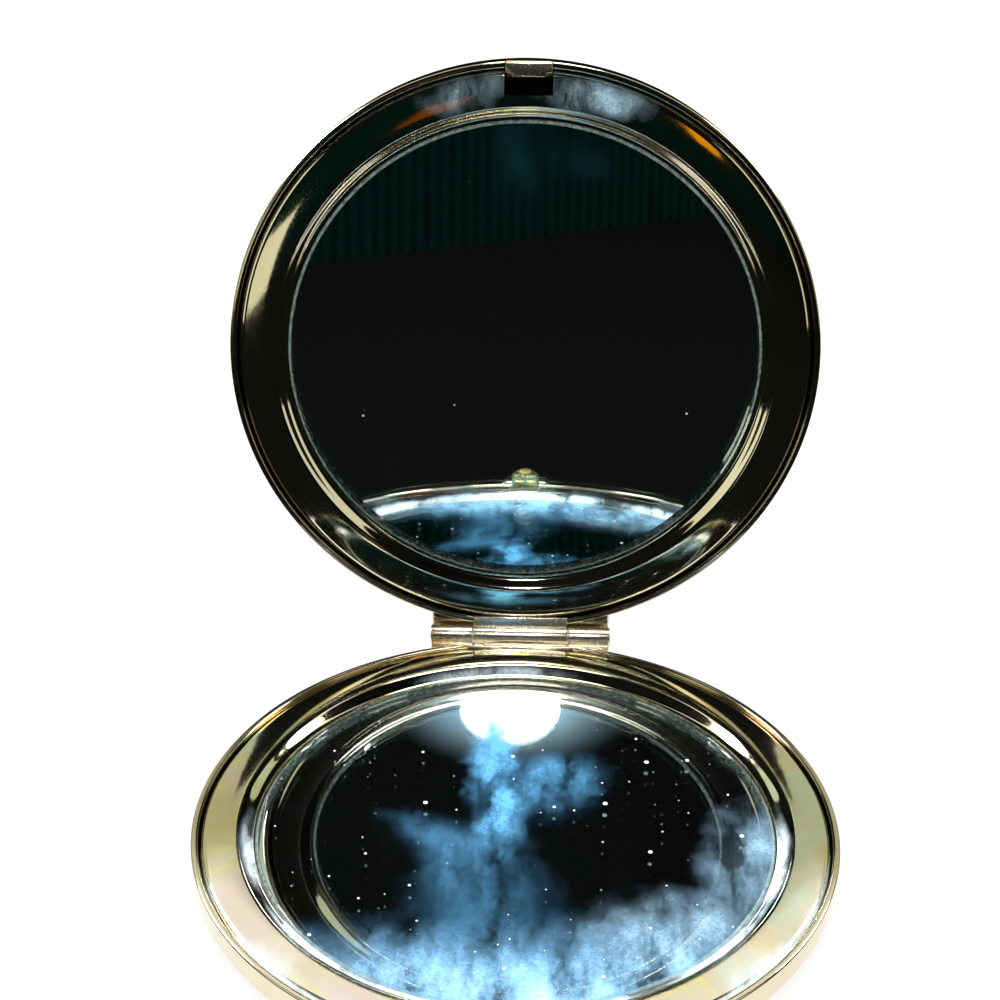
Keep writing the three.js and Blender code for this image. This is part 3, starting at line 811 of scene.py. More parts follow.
def lay_smears_and_painted_glare(material, patches, colour, level, depth, to_flat=None):
    """Grease and dust from fingers, and painted glare and reflections of light, laid on as a
    diffuse layer: soft oval patches, ragged, with a grain that is drawn coarser than it
    is, because it would be too fine to show."""
    tree = material.node_tree
    flat = flat_place(tree, to_flat)
    drift = add_node(
        tree, "ShaderNodeTexNoise", {"Scale": 1 / RAGGED_MM, "Detail": 4.0}, {"Vector": flat}
    )
    strayed = add_node(
        tree,
        "ShaderNodeVectorMath",
        {"operation": "MULTIPLY_ADD", 1: (STRAY_MM, STRAY_MM, 0.0)},
        {0: drift.outputs["Color"], 2: flat},
    )
    total = None
    for place, reach, turn_degrees, strength in patches:
        spread = add_node(
            tree,
            "ShaderNodeMapping",
            {
                "vector_type": "TEXTURE",
                "Location": (place[0] + STRAY_MM / 2, place[1] + STRAY_MM / 2, level),
                "Rotation": (0, 0, math.radians(turn_degrees)),
                "Scale": (*reach, depth),
            },
            {"Vector": strayed.outputs[0]},
        )
        oval = add_node(
            tree,
            "ShaderNodeTexGradient",
            {"gradient_type": "SPHERICAL"},
            {"Vector": spread.outputs[0]},
        )
        patch = add_node(
            tree,
            "ShaderNodeMapRange",
            {"interpolation_type": "SMOOTHSTEP", "From Max": 1.0, "To Max": strength},
            {"Value": oval.outputs["Fac"]},
        ).outputs[0]
        if total is None:
            total = patch
        else:
            both = add_node(tree, "ShaderNodeMath", {"operation": "ADD"}, {0: total, 1: patch})
            total = both.outputs[0]
    wiped = add_node(
        tree, "ShaderNodeMapping", {"Scale": (1.0, WIPE_STRETCH, 1.0)}, {"Vector": flat}
    )
    ragged = add_node(
        tree,
        "ShaderNodeTexNoise",
        {"Scale": 1 / RAGGED_MM, "Detail": 7.0, "Roughness": 0.62},
        {"Vector": wiped.outputs[0]},
    )
    spread_out = add_node(
        tree,
        "ShaderNodeMapRange",
        {"From Min": 0.36, "From Max": 0.62, "To Min": 0.08, "To Max": 1.35},
        {"Value": ragged.outputs["Fac"]},
    )
    grain = add_node(
        tree,
        "ShaderNodeTexNoise",
        {"Scale": 1 / SMEAR_GRAIN_MM, "Detail": 4.0, "Roughness": 0.7},
        {"Vector": flat},
    )
    grained = add_node(
        tree,
        "ShaderNodeMapRange",
        {"From Min": 0.35, "From Max": 0.65, "To Min": 0.7, "To Max": 1.2},
        {"Value": grain.outputs["Fac"]},
    )
    uneven = add_node(
        tree,
        "ShaderNodeMath",
        {"operation": "MULTIPLY"},
        {0: spread_out.outputs[0], 1: grained.outputs[0]},
    )
    amount = add_node(
        tree,
        "ShaderNodeMath",
        {"operation": "MULTIPLY", "use_clamp": True},
        {0: total, 1: uneven.outputs[0]},
    )
    # A diffuse layer: grease and dust, and painted glare and reflections of light.
    smear_and_glare_layer = add_node(tree, "ShaderNodeBsdfDiffuse", {"Color": linear(colour)})
    lay_over(material, amount.outputs[0], smear_and_glare_layer)


# Nickel polished to a mirror, under clear lacquer that shows faint rainbow colours where
# it is thin. Beside the mirror, on the inner slope, grease dulls it and a pale blue glare
# of the flash is painted on.
FRAME_COLOUR = "#ece3ca"
FRAME_TARNISH = "#cdbb8c"
FRAME_ROUGHNESS = 0.045
FRAME_WAVE = 0.015
RAINBOW = [
    (0.36, "#f1e2d8"),
    (0.44, "#f0e8cf"),
    (0.5, "#f5eeba"),
    (0.55, "#f2e4c9"),
    (0.63, "#e2efdc"),
]
RAGGED_MM = 4.0
WIPE_STRETCH = 0.45
SMEAR_GRAIN_MM = 0.35
STRAY_MM = 5.0
# Pale blue of the layer on the inner slope: grease, and a painted glare of the flash.
GREASE_AND_PAINTED_GLARE_COLOUR = "#d8e8f0"
SLOPE_LEVEL = GLASS_TOP + 0.25
SLOPE_DEPTH = 0.75
BASE_FRAME_GREASE_AND_PAINTED_GLARE = [
    ((27.0, -8.0), (5.0, 13.0), 8, 1.4),
    ((20.0, -18.5), (8.0, 15.0), 45, 2.4),
    ((0.0, -27.0), (30.0, 7.0), 0, 2.4),
    ((-19.5, -19.0), (8.0, 15.0), -45, 2.4),
    ((-26.8, -7.0), (5.0, 10.0), -12, 1.0),
    ((-3.0, 27.0), (12.0, 4.0), 0, 0.7),
]

base_frame_metal = plated_metal(
    "lacquered_polished_nickel_painted_glare",
    FRAME_COLOUR,
    FRAME_ROUGHNESS,
    FRAME_TARNISH,
    wave=FRAME_WAVE,
    lacquer=RAINBOW,
)
# Lays the grease and the painted glare of the flash on the inner slope.
lay_smears_and_painted_glare(base_frame_metal, BASE_FRAME_GREASE_AND_PAINTED_GLARE, GREASE_AND_PAINTED_GLARE_COLOUR, SLOPE_LEVEL, SLOPE_DEPTH)


def bezel(name, leaf_half):
    """A stamped frame with the recess for its half of the hinge."""
    piece = spun(name, frame_profile())
    combine(piece, leaf_recess(leaf_half), "DIFFERENCE")
    return piece


SLOT_HALF = 2.25
SLOT_RUN = (-31.22, -29.02)
SLOT_FOOT = 4.2
STEM_ROOM_RUN = (-33.0, -30.42)
STEM_ROOM_TOP = 4.65
SKIRT_CUT_FOOT = 2.2

base_bezel = bezel("base_bezel", HINGE_HALF)
claw_slot = block("cut", (-SLOT_HALF, SLOT_HALF), SLOT_RUN, (SLOT_FOOT, HALF + OVER))
combine(base_bezel, claw_slot, "DIFFERENCE")
stem_room = block(
    "cut", (-SLOT_HALF, SLOT_HALF), STEM_ROOM_RUN, (SKIRT_CUT_FOOT, STEM_ROOM_TOP)
)
combine(base_bezel, stem_room, "DIFFERENCE")
set_only(base_bezel, base_frame_metal)
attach(base_bezel, "base")
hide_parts("base_frame")


# Lid frame. The same ring, notched right through at the front for the claw. Beside the
# notch a pale blue layer is painted: the grease of fingers that open the lid, and a
# painted glare of the flash.
LID_FRAME_GREASE_AND_PAINTED_GLARE = [
    ((6.8, -29.0), (6.0, 2.8), 14, 0.5),
    ((-6.6, -29.0), (7.0, 2.8), -14, 0.75),
]
FRAME_DEPTH = 1.0
FRAME_LEVEL = RIM - 0.05
# Pale blue of the layer beside the notch: finger grease, and a painted glare of the flash.
FINGER_GREASE_AND_PAINTED_GLARE = "#a8c8d8"
SKIRT_CUT_BACK = -CASE_R + 1.5

# The same polished nickel without the rainbow, dulled by the grease of fingers, with a
# painted glare of the flash beside the notch.
lid_frame_metal = plated_metal(
    "handled_polished_nickel_painted_glare", FRAME_COLOUR, FRAME_ROUGHNESS, FRAME_TARNISH, wave=FRAME_WAVE
)
lay_smears_and_painted_glare(
    lid_frame_metal, LID_FRAME_GREASE_AND_PAINTED_GLARE, FINGER_GREASE_AND_PAINTED_GLARE, FRAME_LEVEL, FRAME_DEPTH, LID_PLACE.inverted()
)

lid_bezel = bezel("lid_bezel", CENTRE_HALF)
combine(lid_bezel, notch_cutter(), "DIFFERENCE")
leg_room = block(
    "cut", (-NOTCH_HALF, NOTCH_HALF), (-CASE_R + SHEET, SKIRT_CUT_BACK), (SKIRT_CUT_FOOT, HALF)
)
combine(lid_bezel, leg_room, "DIFFERENCE")
place_in_lid(lid_bezel)
set_only(lid_bezel, lid_frame_metal)
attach(lid_bezel, "lid")
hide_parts("lid_frame")


# Mirrors. Discs of 1.4 mm float glass with a ground edge, silvered behind. The glass is
# clear, so dust on it shows twice: once on the surface and once in the silver.
GLASS_R = POCKET_R - 0.15
GLASS_FOOT = GLASS_TOP - 1.4
ARRIS = 0.35
FOOT_ARRIS = 0.1
SILVER_THICK = 0.1
SILVER_TOP = GLASS_FOOT - 0.1
SILVER_R = GLASS_R - 0.3


def mirror_glass(name):
    """The glass disc, its face bounded by a ground edge."""
    return spun(
        name,
        [
            (0, GLASS_FOOT),
            (GLASS_R - FOOT_ARRIS, GLASS_FOOT),
            (GLASS_R, GLASS_FOOT + FOOT_ARRIS),
            (GLASS_R, GLASS_TOP - ARRIS),
            (GLASS_R - ARRIS, GLASS_TOP),
            (0, GLASS_TOP),
        ],
    )


def mirror_silver(name):
    """The silver and its coat behind the glass."""
    foot = SILVER_TOP - SILVER_THICK
    return spun(name, [(0, foot), (SILVER_R, foot), (SILVER_R, SILVER_TOP), (0, SILVER_TOP)])


def used_glass(name, to_flat=None):
    """Clear float glass; the ground arris round its face looks frosted."""
    material, out = new_material(name)
    tree = material.node_tree
    clear = add_node(
        tree,
        "ShaderNodeBsdfPrincipled",
        {
            "Base Color": linear(GLASS_TINT),
            "Roughness": 0.0,
            "IOR": 1.52,
            "Transmission Weight": 1.0,
        },
    )
    tree.links.new(clear.outputs[0], out.inputs["Surface"])
    flat = flat_place(tree, to_flat)
    level = add_node(
        tree, "ShaderNodeVectorMath", {"operation": "MULTIPLY", 1: (1, 1, 0)}, {0: flat}
    )
    radius = add_node(tree, "ShaderNodeVectorMath", {"operation": "LENGTH"}, {0: level.outputs[0]})
    rim = add_node(
        tree,
        "ShaderNodeMapRange",
        {"From Min": GLASS_R - ARRIS, "From Max": GLASS_R - ARRIS + ARRIS_BLUR, "To Max": 0.8},
        {"Value": radius.outputs["Value"]},
    )
    nicks = add_node(
        tree, "ShaderNodeTexNoise", {"Scale": 1 / NICK_MM, "Detail": 2.0}, {"Vector": flat}
    )
    ground = add_node(
        tree,
        "ShaderNodeMath",
        {"operation": "MULTIPLY"},
        {0: rim.outputs[0], 1: nicks.outputs["Fac"]},
    )
    frosted = add_node(
        tree, "ShaderNodeBsdfPrincipled", {"Base Color": linear(ARRIS_COLOUR), "Roughness": 0.5}
    )
    lay_over(material, ground.outputs[0], frosted)
    return material


def lay_specks(material, sizes_mm, share, to_flat=None):
    """Specks of dust on the upper face, a few of them large; the silver shows them again."""
    tree = material.node_tree
    flat = flat_place(tree, to_flat)
    height = add_node(tree, "ShaderNodeSeparateXYZ", None, {"Vector": flat}).outputs["Z"]
    face = add_node(
        tree,
        "ShaderNodeMapRange",
        {"From Min": GLASS_TOP - 0.06, "From Max": GLASS_TOP - 0.04, "To Max": share},
        {"Value": height},
    )
    for cell_mm, speck_mm in sizes_mm:
        cells = add_node(
            tree,
            "ShaderNodeTexVoronoi",
            {"voronoi_dimensions": "2D", "Scale": 1 / cell_mm},
            {"Vector": flat},
        )
        chance = add_node(tree, "ShaderNodeSeparateColor", None, {"Color": cells.outputs["Color"]})
        size = add_node(
            tree,
            "ShaderNodeMapRange",
            {"From Min": EMPTY_SHARE, "From Max": 1.0, "To Max": speck_mm / cell_mm},
            {"Value": chance.outputs[0]},
        )
        speck = add_node(
            tree,
            "ShaderNodeMath",
            {"operation": "LESS_THAN"},
            {0: cells.outputs["Distance"], 1: size.outputs[0]},
        )
        amount = add_node(
            tree,
            "ShaderNodeMath",
            {"operation": "MULTIPLY"},
            {0: speck.outputs[0], 1: face.outputs[0]},
        )
        dust = add_node(tree, "ShaderNodeBsdfDiffuse", {"Color": linear(DUST_COLOUR)})
        lay_over(material, amount.outputs[0], dust)


GLASS_TINT = "#f4fbf9"
ARRIS_COLOUR = "#a9bdb8"
ARRIS_BLUR = 0.08
NICK_MM = 0.5
EMPTY_SHARE = 0.55
DUST_COLOUR = "#ffffff"
BASE_DUST_SHARE = 0.9
LID_DUST_SHARE = 0.35
FACE_DEPTH = 2.0
# Blue haze on the base glass: partly grease, partly a painted streak of the flash's  reflection
# down the middle of the mirror.
BLUE_HAZE_AND_PAINTED_STREAK = "#5c9fcc"
FRONT_DUST = "#a4cfec"
BASE_HAZE_AND_PAINTED_STREAK = [
    ((-2.5, 11.0), (3.6, 15.0), 0, 0.95),
    ((-1.4, 2.5), (3.2, 9.5), 0, 0.95),
    ((3.8, 7.2), (7.4, 5.4), 30, 0.68),
    ((-1.5, 19.5), (12.0, 4.5), 0, 0.25),
    ((-8.0, -1.8), (8.0, 3.0), -33, 0.2),
    ((-4.0, -4.5), (7.5, 7.0), 0, 0.19),
    ((-3.2, -10.5), (9.0, 9.0), 0, 0.2),
    ((0.0, -27.0), (34.0, 15.5), 0, 0.85),
]
BASE_FRONT_DUST = [
    ((-3.0, -43.0), (48.0, 29.0), 0, 2.2),
    ((15.0, -17.0), (13.0, 8.5), 12, 0.5),
    ((23.0, -4.5), (5.5, 12.0), -12, 0.5),
]
# Dark teal film on the lid glass near the notch: partly a wiped smear, partly a painted  glow under
# the flash's highlight.
LID_FILM_AND_PAINTED_GLOW = "#123238"
LID_HAZE_AND_PAINTED_GLOW = [((0.5, -23.0), (5.0, 9.0), 0, 0.3), ((-6.0, -22.0), (5.0, 3.0), 0, 0.25)]
BASE_SPECKS = [(4.6, 0.24), (3.0, 0.1)]
LID_SPECKS = [(9.0, 0.14)]

base_glass = used_glass("dusty_float_glass_painted_streak")
# Lays the haze and the painted streak of the flash's reflection on the base glass.
lay_smears_and_painted_glare(base_glass, BASE_HAZE_AND_PAINTED_STREAK, BLUE_HAZE_AND_PAINTED_STREAK, GLASS_TOP, FACE_DEPTH)
lay_smears_and_painted_glare(base_glass, BASE_FRONT_DUST, FRONT_DUST, GLASS_TOP, FACE_DEPTH)
lay_specks(base_glass, BASE_SPECKS, BASE_DUST_SHARE)
lid_glass = used_glass("wiped_float_glass_painted_glow", LID_PLACE.inverted())
# Lays the smear and the painted glow under the flash's highlight on the lid glass.
lay_smears_and_painted_glare(lid_glass, LID_HAZE_AND_PAINTED_GLOW, LID_FILM_AND_PAINTED_GLOW, GLASS_TOP, FACE_DEPTH, LID_PLACE.inverted())
lay_specks(lid_glass, LID_SPECKS, LID_DUST_SHARE, LID_PLACE.inverted())

# Silver behind glass: a bright mirror, a little uneven where the coat was poured.
SILVER_CLOUD_MM = 5.0
SILVER_TONES = (linear("#f1f4f6"), linear("#e9eef2"))
SILVER_ROUGHNESS = (0.008, 0.02)
silver_coat, silver_out = new_material("silver_mirror_coat")
tree = silver_coat.node_tree
pour = add_node(
    tree,
    "ShaderNodeTexNoise",
    {"Scale": 1 / (SILVER_CLOUD_MM * MM), "Detail": 3.0},
    {"Vector": add_node(tree, "ShaderNodeTexCoord").outputs["Object"]},
)
silver_tone = add_node(
    tree,
    "ShaderNodeMix",
    {"data_type": "RGBA", 6: SILVER_TONES[0], 7: SILVER_TONES[1]},
    {"Factor": pour.outputs["Fac"]},
)
silver_dull = add_node(
    tree,
    "ShaderNodeMapRange",
    {"To Min": SILVER_ROUGHNESS[0], "To Max": SILVER_ROUGHNESS[1]},
    {"Value": pour.outputs["Fac"]},
)
silver_shader = add_node(
    tree,
    "ShaderNodeBsdfPrincipled",
    {"Metallic": 1.0},
    {"Base Color": silver_tone.outputs[2], "Roughness": silver_dull.outputs[0]},
)
tree.links.new(silver_shader.outputs[0], silver_out.inputs["Surface"])

for half, node_prefix in (("base", "base"), ("lid", "lid")):
    glass_piece = mirror_glass(f"{half}_glass_disc")
    silver_piece = mirror_silver(f"{half}_silver_disc")
    if half == "lid":
        place_in_lid(glass_piece)
        place_in_lid(silver_piece)
    set_only(glass_piece, base_glass if half == "base" else lid_glass)
    set_only(silver_piece, silver_coat)
    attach(glass_piece, half)
    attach(silver_piece, half)
    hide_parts(f"{node_prefix}_mirror_glass")
    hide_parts(f"{node_prefix}_mirror_silvering")


# Mirror pads. White foam tape that glues the silvered glass into its pocket, out of sight
# behind the silver. Its closed cells give it a matt face full of small pits.
FOAM_CELL_MM = 0.5
FOAM_PIT_MM = 0.2
FOAM_TONES = (linear("#c9c5b9"), linear("#e6e3da"))
foam_tape, foam_out = new_material("white_foam_tape")
tree = foam_tape.node_tree
foam_cells = add_node(
    tree,
    "ShaderNodeTexVoronoi",
    {"Scale": 1 / (FOAM_CELL_MM * MM)},
    {"Vector": add_node(tree, "ShaderNodeTexCoord").outputs["Object"]},
)
foam_tone = add_node(
    tree,
    "ShaderNodeMix",
    {"data_type": "RGBA", 6: FOAM_TONES[0], 7: FOAM_TONES[1]},
    {"Factor": foam_cells.outputs["Distance"]},
)
foam_pits = add_node(
    tree,
    "ShaderNodeBump",
    {"Strength": 0.4, "Distance": FOAM_PIT_MM * MM},
    {"Height": foam_cells.outputs["Distance"]},
)
foam_shader = add_node(
    tree,
    "ShaderNodeBsdfPrincipled",
    {"Roughness": 0.9},
    {"Base Color": foam_tone.outputs[2], "Normal": foam_pits.outputs[0]},
)
tree.links.new(foam_shader.outputs[0], foam_out.inputs["Surface"])
for node_name in ("base_mirror_pad", "lid_mirror_pad"):
    set_only(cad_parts[node_name], foam_tape)


# Base hinge leaf. A brass strip, plated, its two outer knuckles rolled round the pin; it is
# soldered on the lug of the base and runs the full width of the hinge.
PIN_R = 0.55
KNUCKLE_GAP = 0.1
PIN_FIT = 0.05
KNUCKLE_FACETS = 64
PIN_FACETS = 32
LEAF_HEIGHTS = (LEAF_TOP - LEAF_THICK, LEAF_TOP)
LEAF_ROUND = 0.12
WING_ROUND = 0.08
KNUCKLE_ROUND = 0.15
SAME = 1e-7


def rod_x(name, x, radius, at, bevel_mm=0.0, facets=KNUCKLE_FACETS):
    """A round rod along X, its end edges rounded."""
    bpy.ops.object.select_all(action="DESELECT")
    bpy.ops.mesh.primitive_cylinder_add(
        vertices=facets,
        radius=radius * MM,
        depth=(x[1] - x[0]) * MM,
        location=((x[0] + x[1]) / 2 * MM, at[0] * MM, at[1] * MM),
        rotation=(0, math.pi / 2, 0),
    )
    piece = bpy.context.active_object
    piece.name = name
    bpy.ops.object.transform_apply(location=True, rotation=True, scale=True)
    pick(piece, "EDGE", lambda edge: edge_run(piece, edge)[0] < SAME)
    if bevel_mm:
        bpy.ops.mesh.bevel(offset=bevel_mm * MM, segments=4)
    finish_edit()
    return piece


def pin_bore():
    """The hole for the pin, right through the hinge."""
    return rod_x("cut", (-HINGE_HALF - 1, HINGE_HALF + 1), PIN_R + PIN_FIT, (PIN_Y, HALF))


# Brass with worn bright plating: its highlights are nearly white, and golden brown shows
# beside them where the plating is tarnished.
hinge_brass = plated_metal("worn_plated_brass", "#fdf4df", 0.23, "#d9ae62", uneven=1.3, wave=0.04)
base_leaf = block(
    "base_leaf", (-LUG_HALF, LUG_HALF), (LEAF_FRONT, LUG_BACK), LEAF_HEIGHTS, LEAF_ROUND
)
inner = CENTRE_HALF + KNUCKLE_GAP
for side in (-1, 1):
    near, far = sorted((side * inner, side * LUG_HALF))
    wing = block("wing", (near, far), (LUG_BACK - 0.5, PIN_Y), LEAF_HEIGHTS, WING_ROUND)
    combine(base_leaf, wing, "UNION")
    near, far = sorted((side * inner, side * HINGE_HALF))
    knuckle = rod_x("knuckle", (near, far), KNUCKLE_R, (PIN_Y, HALF), KNUCKLE_ROUND)
    combine(base_leaf, knuckle, "UNION")
combine(base_leaf, pin_bore(), "DIFFERENCE")
set_only(base_leaf, hinge_brass)
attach(base_leaf, "base")
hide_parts("base_hinge_leaf")


# Hinge pin. Drawn steel wire through the three knuckles, its ends slightly rounded. The
# steel is bare: grey and half dull, with darker clouds of oil.
PIN_ROUND = 0.12

drawn_steel = plated_metal("drawn_steel", "#b9bbb8", 0.25, "#8f8d86", wave=0.01)
pin = rod_x(
    "hinge_pin_wire", (-HINGE_HALF, HINGE_HALF), PIN_R, (PIN_Y, HALF), PIN_ROUND, PIN_FACETS
)
set_only(pin, drawn_steel)
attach(pin, "base")
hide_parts("hinge_pin")


# Lid hinge leaf. The same brass, with the centre knuckle; its end runs on past the knuckle
# as a heel that meets the back of the base's lug and so stops the lid past upright.
HEEL_REACH = 1.9
HEEL_THICK = 0.6
HEEL_HALF = 3.0
HEEL_TURN = 25.0
HEEL_ROUND = 0.08
LID_LEAF_ROUND = 0.1

lid_leaf = block(
    "lid_leaf", (-CENTRE_HALF, CENTRE_HALF), (LEAF_FRONT, PIN_Y), LEAF_HEIGHTS, LID_LEAF_ROUND
)
centre_knuckle = rod_x(
    "knuckle", (-CENTRE_HALF, CENTRE_HALF), KNUCKLE_R, (PIN_Y, HALF), KNUCKLE_ROUND
)
combine(lid_leaf, centre_knuckle, "UNION")
heel = block(
    "heel",
    (-HEEL_HALF, HEEL_HALF),
    (0, HEEL_REACH),
    (-HEEL_THICK / 2, HEEL_THICK / 2),
    HEEL_ROUND,
)
heel.matrix_world = Matrix.Translation(Vector((0, PIN_Y, HALF)) * MM) @ Matrix.Rotation(
    math.radians(HEEL_TURN), 4, "X"
)
bpy.ops.object.transform_apply(location=True, rotation=True, scale=True)
combine(lid_leaf, heel, "UNION")
combine(lid_leaf, pin_bore(), "DIFFERENCE")
place_in_lid(lid_leaf)
set_only(lid_leaf, hinge_brass)
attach(lid_leaf, "lid")
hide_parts("lid_hinge_leaf")


# Keeper. A small plate in the notch of the lid, with a narrower lip that the claw hooks
# under and a leg soldered inside the wall.
KEEPER_HALF = 2.45
KEEPER_TOP = HALF - 0.2
KEEPER_THICK = 0.6
KEEPER_BACK = -CASE_R + 1.25
LIP_HALF = 1.8
LIP_END = -CASE_R + 1.65

KEEPER_FRONT = -CASE_R + 0.2
KEEPER_ROUND = 0.1
LIP_ROOT = 0.4
LIP_EDGE = 0.12
LEG_LENGTH = 1.5
LEG_THICK = 0.3
LEG_DROP = 0.15
LEG_ROUND = 0.06
KEEPER_FOOT = KEEPER_TOP - KEEPER_THICK
KEEPER_HEIGHTS = (KEEPER_FOOT, KEEPER_TOP)

keeper = block(
    "keeper",
    (-KEEPER_HALF, KEEPER_HALF),
    (KEEPER_FRONT, KEEPER_BACK),
    KEEPER_HEIGHTS,
    KEEPER_ROUND,
)
lip = block(
    "lip", (-LIP_HALF, LIP_HALF), (KEEPER_BACK - LIP_ROOT, LIP_END), KEEPER_HEIGHTS, LIP_EDGE
)
combine(keeper, lip, "UNION")
leg = block(
    "leg",
    (-KEEPER_HALF, KEEPER_HALF),
    (KEEPER_BACK - LEG_THICK, KEEPER_BACK),
    (KEEPER_FOOT - LEG_LENGTH, KEEPER_TOP - LEG_DROP),
    LEG_ROUND,
)
combine(keeper, leg, "UNION")
place_in_lid(keeper)
set_only(keeper, hinge_brass)
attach(keeper, "lid")
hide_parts("catch_keeper")


# Push button. A cast thumb piece with rounded ends, plated like the case, on a stem that
# goes through the window in the base's wall.
BUTTON_HALF = 3.9
BUTTON_HEIGHT = 2.4
BUTTON_TOP = HALF - 0.05
BUTTON_BACK = -CASE_R - 0.85
BUTTON_THICK = 1.1
BUTTON_BEVEL = 0.32
END_ROUND = BUTTON_HEIGHT / 2 - 0.02
END_STEPS = 12
RIM_STEPS = 5
STEM_HALF = 1.5
STEM_END = -30.47
STEM_HEIGHTS = (2.75, 4.25)
STEM_ROUND = 0.1
RIVET_ROOM = 0.45
RIVET_HEIGHTS = (2.95, 3.85)
BORE_RUN = (-31.35, -30.0)

button = block(
    "push_button",
    (-BUTTON_HALF, BUTTON_HALF),
    (BUTTON_BACK - BUTTON_THICK, BUTTON_BACK),
    (BUTTON_TOP - BUTTON_HEIGHT, BUTTON_TOP),
)
pick(button, "EDGE", lambda edge: edge_run(button, edge)[1] > SAME)
bpy.ops.mesh.bevel(offset=END_ROUND * MM, segments=END_STEPS)
pick(button, "EDGE", lambda edge: edge_run(button, edge)[1] < SAME)
bpy.ops.mesh.bevel(offset=BUTTON_BEVEL * MM, segments=RIM_STEPS)
finish_edit()
stem = block(
    "stem", (-STEM_HALF, STEM_HALF), (BUTTON_BACK - 0.5, STEM_END), STEM_HEIGHTS, STEM_ROUND
)
combine(button, stem, "UNION")
combine(button, block("cut", (-RIVET_ROOM, RIVET_ROOM), BORE_RUN, RIVET_HEIGHTS), "DIFFERENCE")
set_only(button, nickel)
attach(button, "catch")
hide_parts("catch_button")


# Claw. A small stamping, riveted to the button's stem, that stands up through the slot in
# the base frame. It narrows to the top, with a hooked nose in front and two hollows behind.

# Plain brass, rubbed bright where the keeper slides over it and brown where it is not.
claw_brass = plated_metal("rubbed_yellow_brass", "#f0dda2", 0.1, "#8a6a34", uneven=1.2, wave=0.03)
CLAW_FRONT = -CASE_R + 2.08
CLAW_BACK = CLAW_FRONT + 0.6
CLAW_HALF = 2.05
CLAW_TOP = HALF + 2.9
CLAW_SHOULDER = HALF + 1.5
CLAW_FOOT = 2.65
WING_HALF = 2.75
WING_TOP = 3.75
NOSE_REACH = 0.7
NOSE_HALF = 1.5
NOSE_FOOT = HALF + 1.1
NOSE_TOP = CLAW_SHOULDER + 0.4
NOSE_THICK = 0.4
NOSE_ROOT = 0.2
CLAW_ROUND = 0.1
WING_EDGE = 0.06
NOSE_ROUND = 0.08
HOLLOW_RUN = (0.2, 1.6)
HOLLOW_DEPTH = 0.25
HOLLOW_HEIGHTS = (HALF + 0.8, HALF + 1.9)
HOLLOW_ROUND = 0.2
# Each step of the rounded top: its share of the rise, and of the width below it.
TOP_STEPS = ((0.3, 0.93), (0.3, 0.8), (0.25, 0.68), (0.15, 0.62))

claw = block(
    "claw", (-CLAW_HALF, CLAW_HALF), (CLAW_FRONT, CLAW_BACK), (WING_TOP - 0.3, CLAW_SHOULDER)
)
pick(claw, "FACE", lambda face: face.normal.z > 0.9)
for rise_share, width_share in TOP_STEPS:
    bpy.ops.mesh.extrude_region_move(
        TRANSFORM_OT_translate={"value": (0, 0, (CLAW_TOP - CLAW_SHOULDER) * rise_share * MM)}
    )
    bpy.ops.transform.resize(value=(width_share, 1, 1))
bpy.ops.mesh.select_all(action="SELECT")
bpy.ops.mesh.bevel(offset=CLAW_ROUND * MM, segments=2)
finish_edit()
wings = block(
    "wing", (-WING_HALF, WING_HALF), (CLAW_FRONT, CLAW_BACK), (CLAW_FOOT, WING_TOP), WING_EDGE
)
combine(claw, wings, "UNION")
nose = block(
    "nose",
    (-NOSE_HALF, NOSE_HALF),
    (CLAW_FRONT - NOSE_REACH, CLAW_FRONT + NOSE_ROOT),
    (NOSE_FOOT, NOSE_TOP),
)
pick(nose, "VERT", lambda v: v.co.y < CLAW_FRONT * MM and v.co.z > (NOSE_FOOT + NOSE_TOP) / 2 * MM)
bpy.ops.transform.translate(value=(0, 0, (NOSE_FOOT + NOSE_THICK - NOSE_TOP) * MM))
bpy.ops.mesh.select_all(action="SELECT")
bpy.ops.mesh.bevel(offset=NOSE_ROUND * MM, segments=2)
finish_edit()
combine(claw, nose, "UNION")
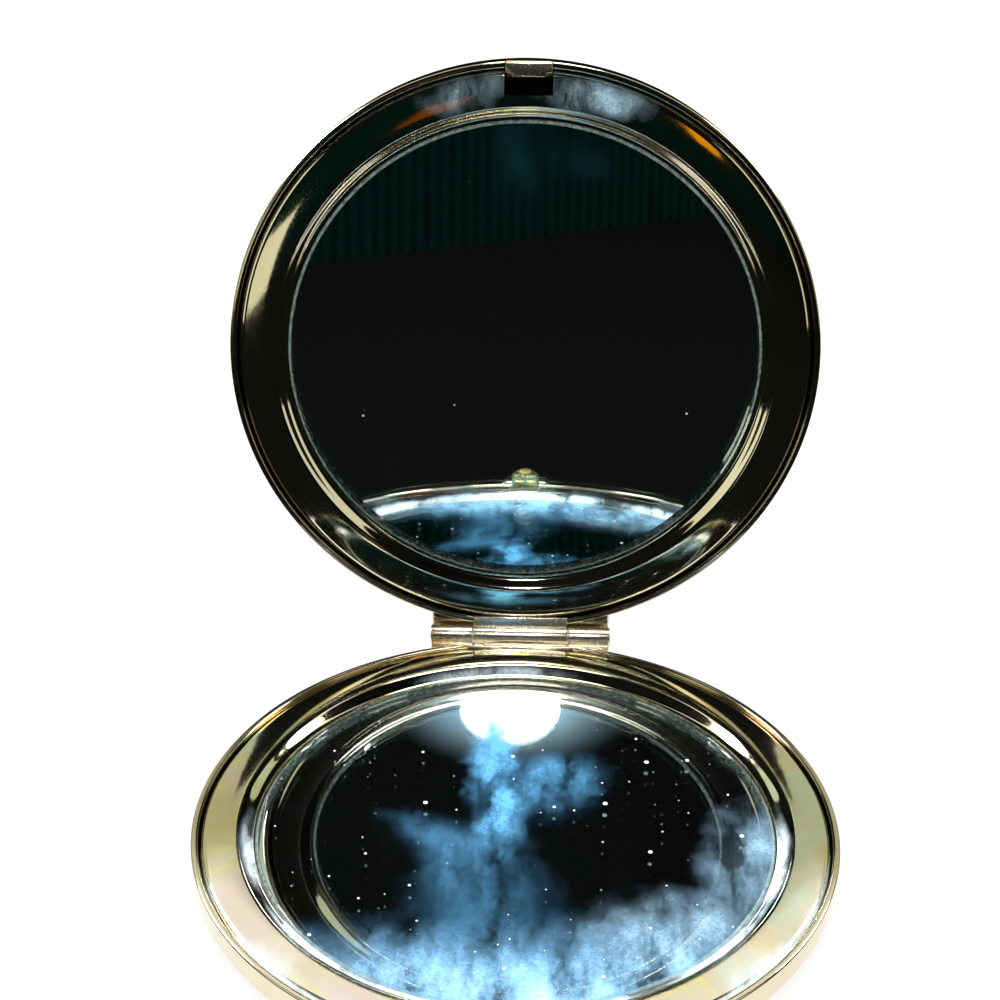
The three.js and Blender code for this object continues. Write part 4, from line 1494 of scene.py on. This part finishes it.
for side in (-1, 1):
    near, far = sorted(side * reach for reach in HOLLOW_RUN)
    deep = (CLAW_BACK - HOLLOW_DEPTH, CLAW_BACK + 1)
    hollow = block("cut", (near, far), deep, HOLLOW_HEIGHTS, HOLLOW_ROUND)
    combine(claw, hollow, "DIFFERENCE")
rivet_hole = block(
    "cut", (-RIVET_ROOM, RIVET_ROOM), (CLAW_FRONT - 1, CLAW_BACK + 1), RIVET_HEIGHTS
)
combine(claw, rivet_hole, "DIFFERENCE")
set_only(claw, claw_brass)
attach(claw, "catch")
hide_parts("catch_claw")


# Catch spring. Two and a half turns of bare spring wire between the claw and the back of
# the guide, wound in one piece; it shortens as the button is pushed in.
WIRE_R = 0.13
WIRE_SIDES = 12
COIL_R = 0.9
COIL_TURNS = 2.5
COIL_STEPS = 80
COIL_FRONT = -29.63
COIL_BACK = -27.943
COIL_HEIGHT = 3.395

bpy.ops.object.select_all(action="DESELECT")
bpy.ops.mesh.primitive_circle_add(
    vertices=WIRE_SIDES, radius=WIRE_R * MM, location=(0, 0, COIL_HEIGHT * MM)
)
spring = bpy.context.active_object
spring.name = "catch_coil"
bpy.ops.object.mode_set(mode="EDIT")
bpy.ops.mesh.select_all(action="SELECT")
bpy.ops.transform.translate(value=(COIL_R * MM, COIL_FRONT * MM, 0))
bpy.ops.object.mode_set(mode="OBJECT")
winding = spring.modifiers.new("winding", "SCREW")
winding.axis = "Y"
winding.angle = -2 * math.pi * COIL_TURNS
winding.screw_offset = (COIL_BACK - COIL_FRONT) * MM
winding.steps = winding.render_steps = COIL_STEPS
bpy.ops.object.modifier_apply(modifier=winding.name)
bpy.ops.object.transform_apply(location=True, rotation=True, scale=True)
bpy.ops.object.mode_set(mode="EDIT")
bpy.ops.mesh.select_all(action="SELECT")
bpy.ops.mesh.fill_holes(sides=WIRE_SIDES)
finish_edit()
set_only(spring, drawn_steel)
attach(spring, "base")
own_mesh(spring)
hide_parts("catch_spring")


# Guide and rivet. Bare steel parts under the base frame, out of sight: they keep the
# shapes of the model and get the finish of drawn steel.
for node_name in ("catch_guide", "catch_rivet"):
    set_only(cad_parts[node_name], drawn_steel)
